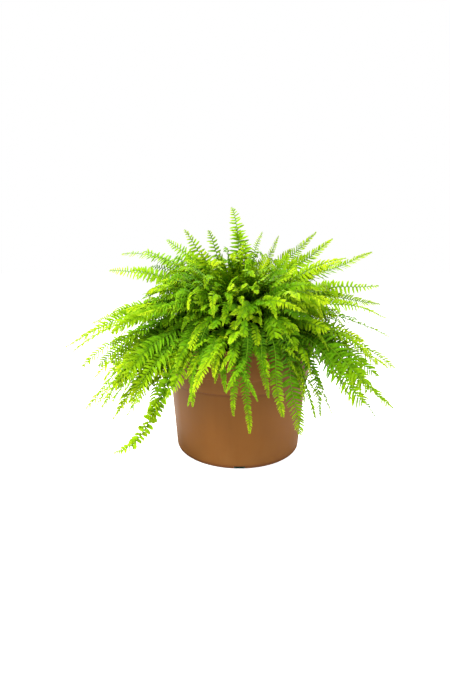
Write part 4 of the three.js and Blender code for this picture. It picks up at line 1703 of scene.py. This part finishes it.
@dataclass(frozen=True)
class Companion:
    """A shorter frond beside one of the solids' fronds: turned about the pot's axis, cut short and lifted.

    The turn is in degrees. Keep is the share of the length that stays, and narrow the share of the reach.
    A lift below zero lowers its outer half.
    """

    turn: float
    keep: float
    lift: float
    narrow: float = 0.9
    fineness: int = 4
    bare_tip: float = 0.06

    def rib_beside(self, rib: Rib) -> Rib:
        """Return the companion's rib.

        Args:
            rib: The rib that it follows.

        Returns:
            The rib of the companion, which rises over the pot's rim where the other one does.
        """
        path, lengths = smooth_path(rib.points, self.fineness)
        points = path[lengths <= self.keep * lengths[-1]][::self.fineness]
        index = np.arange(len(path)) / self.fineness
        shares = np.interp(rib.marks, index, lengths) / lengths[-1]
        chosen = shares < self.keep - self.bare_tip
        spin = upright_spin(math.radians(self.turn))
        points = points @ spin
        points[:, 2] += self.lift * np.linspace(0, 1, len(points)) ** (0.8 if self.lift > 0 else 2.0)
        return Rib(points, rib.marks[chosen], (rib.sides @ spin)[chosen], rib.widths[chosen] * self.narrow)


def directions(turn: float) -> tuple[np.ndarray, np.ndarray]:
    """Return the level directions outwards and around at an angle about the pot's axis."""
    cos, sin = math.cos(turn), math.sin(turn)
    return np.array([cos, sin, 0.0]), np.array([-sin, cos, 0.0])


def upward(height: float) -> np.ndarray:
    """Return the way straight up to a height."""
    return np.array([0.0, 0.0, height])


def facing(turn: float) -> float:
    """Return how squarely an angle about the pot's axis faces the viewer, from 0 to 1."""
    return max(0.0, -math.sin(turn))


def arch(root: np.ndarray, bend: np.ndarray, tip: np.ndarray) -> np.ndarray:
    """Draw the centre line of a short frond as one smooth arch.

    Args:
        root: Where it starts.
        bend: The place that draws it aside on its way.
        tip: Where it ends.

    Returns:
        Its points.
    """
    t = np.linspace(0, 1, ARCH_POINTS)[:, None]
    return (1 - t) ** 2 * root + 2 * t * (1 - t) * bend + t**2 * tip


def finish_fronds(store: MeshStore, name: str, material: bpy.types.Material, nodes: Sequence[str] = ()) -> bpy.types.Object:
    """Make a piece of the fronds in a mesh and log it.

    Args:
        store: The mesh.
        name: The piece's name.
        material: The leaf material.
        nodes: The solids that the piece stands for.

    Returns:
        The piece.
    """
    piece = store.build(name)
    finish_piece(piece, material, nodes)
    LOG.info("%s: %d triangles", name, sum(len(face) - 2 for face in store.faces))
    return piece


@dataclass
class InnerFronds:
    """Short fronds that rise from the crown and arch out inside the dome, upright first and flat last.

    Pairs of numbers are the least and the greatest value of a draw.
    """

    forms: Sequence[LeafletForm]
    count: int = 88
    # The inner fronds are old and dark green: partly their age, partly painted shade deep inside the dome
    age: float = 0.8
    upright: float = 0.4
    upright_freshness: float = 0.22
    golden_turn: float = 0.618034
    size: tuple[float, float] = (0.72, 1.0)
    root_level: float = 182 * MM
    root_reach: tuple[float, float] = (8 * MM, 50 * MM)
    rise: float = 34 * MM
    dome_base: float = 195 * MM
    dome_radius: float = 172 * MM
    dome_height: float = 148 * MM
    leaflet_reach: tuple[float, float] = (12 * MM, 18 * MM)

    def rib(self, number: int, draw: np.random.Generator) -> Rib:
        """Draw the rib of one frond.

        Args:
            number: The frond's number.
            draw: The source of its variety.

        Returns:
            The rib.
        """
        outward, around = directions(2 * math.pi * (number * self.golden_turn + draw.uniform(0, 0.06)))
        lean = math.acos(1 - 1.02 * (number + 0.5) / self.count)
        size = draw.uniform(*self.size)
        reach = self.dome_radius * math.sin(lean) * size
        tall = self.dome_height * math.cos(lean) * size
        nearest, farthest = self.root_reach
        start = nearest + (farthest - nearest) * math.sin(lean) * draw.uniform(0.4, 1.0)
        root = outward * start + upward(self.root_level)
        bend = outward * (0.7 * start + 0.3 * reach) + upward(self.dome_base + 1.05 * tall + self.rise)
        tip = outward * reach + upward(self.dome_base + tall)
        widths = draw.uniform(*self.leaflet_reach) * np.array([0.7, 1.0, 0.9, 0.6])
        return Rib(arch(root, bend, tip), ARCH_MARKS, np.tile(around, (len(ARCH_MARKS), 1)), widths)

    def build(self, material: bpy.types.Material) -> bpy.types.Object:
        """Make the fronds.

        Args:
            material: The leaf material.

        Returns:
            The fronds as one piece.
        """
        draw = np.random.default_rng(SEED + 5)
        store = MeshStore()
        for number in range(self.count):
            upright = number < self.upright * self.count
            age = self.age + draw.uniform(-0.3, 0.2) - (self.upright_freshness if upright else 0.0)
            habit = FrondHabit.FEATHERED if upright else FrondHabit.FILLING
            Frond(self.rib(number, draw), habit, age, draw).add_to(store, self.forms)
        return finish_fronds(store, "inner_fronds", material)


@dataclass
class CrossingFronds:
    """Short fronds that lie sideways over the flank of the dome, to either side.

    Pairs of numbers are the least and the greatest value of a draw.
    """

    forms: Sequence[LeafletForm]
    count: int = 44
    age: float = 0.37
    root_level: float = 184 * MM
    root_reach: tuple[float, float] = (28 * MM, 46 * MM)
    bend_out: float = 98 * MM
    bend_aside: float = 12 * MM
    bend_level: tuple[float, float] = (282 * MM, 330 * MM)
    tip_out: tuple[float, float] = (128 * MM, 160 * MM)
    tip_aside: tuple[float, float] = (58 * MM, 104 * MM)
    tip_level: tuple[float, float] = (226 * MM, 282 * MM)
    front_rise: float = 16 * MM
    leaflet_reach: tuple[float, float] = (12 * MM, 17 * MM)

    def rib(self, turn: float, draw: np.random.Generator) -> Rib:
        """Draw the rib of one frond.

        Args:
            turn: The angle about the pot's axis at which it lies.
            draw: The source of its variety.

        Returns:
            The rib.
        """
        outward, around = directions(turn)
        aside = around * (1 if draw.uniform() < 0.5 else -1)
        front = facing(turn) ** 2
        root = outward * draw.uniform(*self.root_reach) + upward(self.root_level)
        bend = outward * self.bend_out + aside * self.bend_aside + upward(draw.uniform(*self.bend_level))
        tip = outward * draw.uniform(*self.tip_out)
        tip += aside * draw.uniform(*self.tip_aside) * (1 + 0.3 * front)
        tip[2] = draw.uniform(*self.tip_level) + self.front_rise * front
        points = arch(root, bend, tip)
        after = np.ceil(ARCH_MARKS).astype(int)
        ahead = unit(points[after] - points[after - 1])
        sides = unit(np.cross(outward * 0.75 + upward(0.66), ahead))
        widths = draw.uniform(*self.leaflet_reach) * np.array([0.6, 0.95, 1.0, 0.7])
        return Rib(points, ARCH_MARKS, sides, widths)

    def build(self, material: bpy.types.Material, draw: np.random.Generator) -> bpy.types.Object:
        """Make the fronds.

        Args:
            material: The leaf material.
            draw: The source of their variety.

        Returns:
            The fronds as one piece.
        """
        store = MeshStore()
        for number in range(self.count):
            turn = 2 * math.pi * (number + draw.uniform(-0.4, 0.4)) / self.count
            age = self.age + draw.uniform(-0.12, 0.35)
            Frond(self.rib(turn, draw), FrondHabit.CURLED, age, draw).add_to(store, self.forms)
        return finish_fronds(store, "crossing_fronds", material)


@dataclass
class RimFronds:
    """Short fronds that lean out over the pot's rim, evenly all around and a few more in front.

    The front ones stand at set angles in degrees, and their tips swing aside by a share of the usual. Pairs
    of numbers are the least and the greatest value of a draw.
    """

    forms: Sequence[LeafletForm]
    count: int = 96
    front_turns: tuple[float, ...] = (252.0, 257.5, 260.5, 266.0, 284.0)
    front_swing: float = 0.2
    age: float = 0.37
    root_level: float = 184 * MM
    root_reach: tuple[float, float] = (40 * MM, 54 * MM)
    bend_out: float = 108 * MM
    bend_level: tuple[float, float] = (242 * MM, 268 * MM)
    tip_out: tuple[float, float] = (138 * MM, 166 * MM)
    tip_level: tuple[float, float] = (172 * MM, 212 * MM)
    tip_swing: float = 26 * MM
    side_drop: float = 100 * MM
    front_drop: float = 18 * MM
    leaflet_reach: tuple[float, float] = (11 * MM, 16 * MM)

    def rib(self, turn: float, swing: float, draw: np.random.Generator) -> Rib:
        """Draw the rib of one frond.

        Args:
            turn: The angle about the pot's axis that it leans to.
            swing: How far its tip swings aside, as a share of the usual.
            draw: The source of its variety.

        Returns:
            The rib.
        """
        outward, around = directions(turn)
        sideways, front = abs(math.cos(turn)) * draw.uniform(), facing(turn)
        reach = draw.uniform(*self.tip_out) * (1 + 0.3 * sideways)
        level = draw.uniform(*self.tip_level) - self.side_drop * sideways - self.front_drop * front**4
        aside = draw.uniform(-self.tip_swing, self.tip_swing) * (1 + 2.2 * front) * swing
        root = outward * draw.uniform(*self.root_reach) + upward(self.root_level)
        bend = outward * self.bend_out + upward(draw.uniform(*self.bend_level))
        tip = outward * reach + around * aside + upward(level)
        widths = draw.uniform(*self.leaflet_reach) * np.array([0.6, 0.95, 1.0, 0.7])
        return Rib(arch(root, bend, tip), ARCH_MARKS, np.tile(around, (len(ARCH_MARKS), 1)), widths)

    def build(self, material: bpy.types.Material, draw: np.random.Generator) -> list[bpy.types.Object]:
        """Make the fronds.

        Args:
            material: The leaf material.
            draw: The source of their variety.

        Returns:
            The piece with the front half of them and the one with the back half.
        """
        halves = {"front": MeshStore(), "back": MeshStore()}
        places = [(2 * math.pi * number / self.count, 1.0) for number in range(self.count)]
        places += [(math.radians(turn), self.front_swing) for turn in self.front_turns]
        for place, swing in places:
            turn = place + 2 * math.pi * draw.uniform(-0.4, 0.4) / self.count
            front = facing(turn)
            age = self.age + draw.uniform(-0.05, 0.25) + draw.uniform(-0.05, 0.45) * front
            habit = FrondHabit.CURLED if front > 0.4 else FrondHabit.FEATHERED
            half = halves["front" if turn > math.pi else "back"]
            Frond(self.rib(turn, swing, draw), habit, age, draw).add_to(half, self.forms)
        return [finish_fronds(store, f"rim_fronds_{half}", material) for half, store in halves.items()]


@dataclass
class Foliage:
    """Every frond of the plant.

    Fine fronds take the place of the solids' own, and shorter companions stand beside them. Short fronds
    rise inside the dome, lie sideways over its flank and lean over the pot's rim.
    """

    crown: Crown
    young_age: float = 0.66
    standing_age: float = 0.37
    back_age: float = 0.46
    age_spread: float = 0.1
    tuft_age_spread: float = 0.2
    ages: dict[str, float] = field(default_factory=lambda: {
        "frond_front_left_pale": 0.56, "frond_front_right_pale": 0.76, "frond_front_centre_tip": 0.74,
        "frond_front_centre_curved": 0.78, "frond_front_dark": 0.98, "frond_right_low_wide": 0.6,
        "frond_front_right_broad": 0.84, "frond_front_left_short": 0.8, "frond_right_hanging": 0.78,
        "frond_right_low_c": 0.6, "frond_front_left_trailing": 0.42, "frond_top_tall": 0.46,
        "frond_top_left_a": 0.42, "frond_top_left_b": 0.44, "frond_top_left_c": 0.48,
        "frond_top_left_d": 0.48, "frond_top_left_e": 0.44, "frond_top_small": 0.46,
        "frond_left_high_a": 0.42, "frond_left_high_b": 0.44, "frond_left_low_a": 0.4,
        "frond_left_low_b": 0.42,
    })
    sparse: frozenset[str] = frozenset({
        "frond_left_high_a", "frond_left_high_b", "frond_top_left_a", "frond_top_left_b", "frond_top_left_c",
        "frond_top_left_d", "frond_top_left_e", "frond_top_tall", "frond_top_small", "frond_right_low_c",
        "frond_right_mid_a",
    })
    swept: frozenset[str] = frozenset({
        "frond_top_right_a", "frond_top_right_b", "frond_top_right_c", "frond_right_high_a", "frond_left_far",
        "frond_left_mid_b", "frond_right_mid_b",
    })
    low: frozenset[str] = frozenset({
        "frond_front_left_under", "frond_left_low_a", "frond_left_low_b", "frond_left_low_c",
        "frond_left_mid_a", "frond_right_low_a", "frond_right_low_wide",
    })
    standing_companions: tuple[Companion, ...] = (Companion(7.5, 0.84, 3 * MM), Companion(-8.5, 0.70, 8 * MM))
    low_companions: tuple[Companion, ...] = (
        Companion(7.0, 0.84, 3 * MM), Companion(10.5, 0.82, -34 * MM), Companion(4.0, 0.92, -16 * MM),
        Companion(-4.0, 0.86, -24 * MM),
    )
    outer_companions: tuple[Companion, ...] = (
        Companion(9.0, 1.0, -20 * MM), Companion(18.0, 0.98, -38 * MM),
    )
    shoulder_companions: tuple[Companion, ...] = (
        Companion(5.0, 0.72, -14 * MM, 1.1), Companion(9.0, 0.66, -10 * MM, 1.1),
        Companion(14.0, 0.60, -12 * MM, 1.1), Companion(19.0, 0.54, -14 * MM, 1.0),
    )
    trailing_companions: tuple[Companion, ...] = (
        Companion(2.5, 0.7, 3 * MM, 1.3), Companion(-3.5, 0.64, 5 * MM, 1.3),
        Companion(6.0, 0.52, 8 * MM, 1.2), Companion(-1.5, 0.8, -6 * MM, 1.1),
    )
    tuft_companions: tuple[Companion, ...] = (
        Companion(11.0, 0.88, 14 * MM), Companion(-10.0, 0.76, 26 * MM),
    )
    hanging_companions: tuple[Companion, ...] = (Companion(6.0, 0.55, 5 * MM), Companion(-7.0, 0.5, 9 * MM))
    combed_height: float = 268 * MM
    finish: LeafFinish = LeafFinish(
        "fern_leaf", fresh=(0.54, 0.70, 0.006), lime=(0.285, 0.49, 0.001), mature=(0.082, 0.26, 0.001),
        deep=(0.010, 0.08, 0.001), tip=(0.70, 0.78, 0.06), vein=(0.24, 0.46, 0.003),
        under=(0.15, 0.34, 0.003), stalk=(0.12, 0.25, 0.008), bark=(0.08, 0.04, 0.015), roughness=0.48,
        glow=0.14,
    )
    broad: LeafletForm = field(init=False)
    small: LeafletForm = field(init=False)
    slim: LeafletForm = field(init=False)

    def __post_init__(self) -> None:
        """Model the three leaflets that all fronds share."""
        self.broad, self.small, self.slim = BROAD_LEAFLET.build(), SMALL_LEAFLET.build(), SLIM_LEAFLET.build()

    def habit_of(self, node: str) -> FrondHabit:
        """Choose the habit of a solid's fronds.

        Args:
            node: The solid.

        Returns:
            The habit.
        """
        if node.startswith("tuft_front"):
            return FrondHabit.CURLED
        if node == "frond_front_left_trailing":
            return FrondHabit.CHUNKY
        if ("front" in node or "hanging" in node) and node not in self.low:
            return FrondHabit.HANGING
        if node in self.swept:
            return FrondHabit.SWEPT
        if node in self.low:
            return FrondHabit.BROAD
        return FrondHabit.SPARSE if node in self.sparse else FrondHabit.FEATHERED

    def age_of(self, node: str) -> float:
        """Look up the age of a solid's fronds.

        Args:
            node: The solid.

        Returns:
            The age, from 0, fresh, to 1, old.
        """
        if node.startswith("tuft_front"):
            return self.young_age
        return self.ages.get(node, self.back_age if node.startswith("tuft_back") else self.standing_age)

    def companions_of(self, node: str) -> tuple[Companion, ...]:
        """Choose the shorter fronds that stand beside each of a solid's fronds.

        Args:
            node: The solid.

        Returns:
            The companions.
        """
        if node.startswith("tuft"):
            return self.tuft_companions
        if node == "frond_front_left_trailing":
            return self.trailing_companions
        if node == "frond_top_left_a":
            return self.outer_companions
        if node == "frond_front_left_under":
            return self.low_companions + self.shoulder_companions
        if node in self.low:
            return self.low_companions
        return self.hanging_companions if "front" in node or "hanging" in node else self.standing_companions

    def build_solid(self, node: str, seed: int, quarters: Sequence[MeshStore],
                    material: bpy.types.Material) -> bpy.types.Object:
        """Make the fine fronds of one solid, and add the companions beside them to the quarters' meshes.

        Args:
            node: The solid.
            seed: The seed of the draw.
            quarters: The meshes for the companions, from the right counter-clockwise.
            material: The leaf material.

        Returns:
            The piece that stands for the solid.
        """
        draw = np.random.default_rng(seed)
        spread = self.tuft_age_spread if node.startswith("tuft") else self.age_spread
        store = MeshStore()
        for rib in RibReader(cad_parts[node]).ribs():
            habit = self.habit_of(node)
            age = self.age_of(node) + draw.uniform(-spread, spread)
            if habit is FrondHabit.CURLED and rib.points[-1][2] > self.combed_height:
                habit = FrondHabit.COMBED
            Frond(rib, habit, age, draw).add_to(store, (self.broad, self.small))
            x, y, _ = rib.points[-1] - rib.points[0]
            beside = quarters[round(math.atan2(y, x) / (math.pi / 2)) % 4]
            if habit is FrondHabit.CHUNKY:
                habit = FrondHabit.FEATHERED
            for companion in self.companions_of(node):
                # Companions are drawn a little older and darker on the whole: partly painted shade, as they
                # stand among the other fronds
                frond = Frond(companion.rib_beside(rib), habit, age + draw.uniform(-0.1, 0.28), draw)
                frond.add_to(beside, (self.small, self.slim))
        return finish_fronds(store, f"fine_{node}", material, [node])

    def build(self) -> list[bpy.types.Object]:
        """Make the fronds of every solid, their companions, and the short fronds of the dome and the rim.

        Returns:
            The pieces.
        """
        material = self.finish.material()
        nodes = sorted(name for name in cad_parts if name.startswith(("frond_", "tuft_")))
        beside = {quarter: MeshStore() for quarter in ("right", "back", "left", "front")}
        quarters = list(beside.values())
        pieces = [
            self.build_solid(node, SEED + 10 + order, quarters, material) for order, node in enumerate(nodes)
        ]
        for quarter, store in beside.items():
            pieces.append(finish_fronds(store, f"companion_fronds_{quarter}", material))
        slim = (self.slim, self.slim)
        draw = np.random.default_rng(SEED + 6)
        pieces.append(InnerFronds(slim).build(material))
        pieces.append(CrossingFronds(slim).build(material, draw))
        pieces += RimFronds(slim).build(material, draw)
        pieces.append(self.crown.build_croziers(material))
        return pieces


# Floor, lights and camera


@dataclass(frozen=True)
class SoftLight:
    """A soft square light that shines at the plant, with its width in metres and its power in watts."""

    name: str
    place: tuple[float, float, float]
    size: float
    power: float
    colour: Colour = (1.0, 1.0, 1.0)
    target: tuple[float, float, float] = (0.0, 0.0, 0.2)

    def build(self) -> bpy.types.Object:
        """Make the light and turn it to the plant.

        Returns:
            The light.
        """
        data = bpy.data.lights.new(self.name, "AREA")
        data.size = self.size
        data.energy = self.power
        data.color = self.colour
        light = bpy.data.objects.new(self.name, data)
        light.location = self.place
        light.rotation_euler = (Vector(self.target) - Vector(self.place)).to_track_quat("-Z", "Y").to_euler()
        bpy.context.scene.collection.objects.link(light)
        return light


@dataclass
class Studio:
    """A plain pale floor, soft lights and the camera at the photograph's viewing angle."""

    floor_radius: float = 14.0
    floor_gap: float = 0.3 * MM
    floor_sides: int = 96
    camera_place: tuple[float, float, float] = (-0.023, -0.690, 0.320)
    camera_pitch: float = 10.5
    focal_pixels: float = 400.0
    frame_height: float = 675.0
    sensor: float = 36.0
    nearest: float = 0.01
    sky: float = 0.09
    sky_colour: tuple[float, float, float, float] = (0.97, 0.985, 1.0, 1.0)
    lights: tuple[SoftLight, ...] = (
        SoftLight("key", (-1.1, -1.0, 2.1), 0.85, 102.0, (0.99, 1.0, 0.92)),
        SoftLight("left_fill", (-1.6, -0.3, 0.4), 1.0, 17.0),
        SoftLight("right_fill", (1.6, -0.4, 0.6), 1.0, 18.0),
        SoftLight("rim", (0.3, 1.3, 1.8), 0.6, 42.0),
    )

    def add_floor(self) -> None:
        """Lay the floor just under the pot."""
        clear_selection()
        bpy.ops.mesh.primitive_circle_add(vertices=self.floor_sides, radius=self.floor_radius,
                                          fill_type="NGON", location=(0, 0, -self.floor_gap))
        floor = rename("floor")
        bpy.ops.object.transform_apply(location=True, rotation=False, scale=False)
        floor.data.materials.append(FloorFinish().material())

    def add_sky(self) -> None:
        """Surround the scene with even light, which the camera sees as white."""
        world = bpy.data.worlds.new("studio")
        world.use_nodes = True
        bpy.context.scene.world = world
        graph = Graph(world.node_tree)
        light = world.node_tree.nodes["Background"]
        light.inputs["Color"].default_value = self.sky_colour
        light.inputs["Strength"].default_value = self.sky
        seen = graph.add("ShaderNodeBackground", {"Color": (1.0, 1.0, 1.0), "Strength": 1.0})
        path = graph.add("ShaderNodeLightPath")
        mixed = graph.add("ShaderNodeMixShader", {
            0: path.outputs["Is Camera Ray"], 1: light.outputs[0], 2: seen.outputs[0],
        })
        graph.tree.links.new(mixed.outputs[0], world.node_tree.nodes["World Output"].inputs["Surface"])

    def add_camera(self) -> None:
        """Place the camera and give it the photograph's perspective."""
        data = bpy.data.cameras.new("camera")
        data.sensor_fit = "AUTO"
        data.sensor_width = self.sensor
        data.lens = self.sensor * self.focal_pixels / self.frame_height
        data.clip_start = self.nearest
        camera = bpy.data.objects.new("camera", data)
        camera.location = self.camera_place
        camera.rotation_euler = (math.radians(90 - self.camera_pitch), 0, 0)
        bpy.context.scene.collection.objects.link(camera)
        bpy.context.scene.camera = camera

    def build(self) -> None:
        """Set up the floor, the lights and the camera."""
        self.add_floor()
        self.add_sky()
        for light in self.lights:
            light.build()
        self.add_camera()
        bpy.context.scene.view_settings.view_transform = "Standard"


def main() -> None:
    """Build every piece in order."""
    logging.basicConfig(level=logging.INFO, format="%(message)s")
    clear_selection()
    pot, crown = Pot(), Crown()
    for piece in (pot.build(), DrainPlug(pot).build(), *Soil(pot).build(), *crown.build()):
        LOG.info("%s: %d faces", piece.name, len(piece.data.polygons))
    pieces = Foliage(crown).build()
    LOG.info("foliage: %d pieces", len(pieces))
    Studio().build()
    clear_selection()


if __name__ == "__main__":
    main()
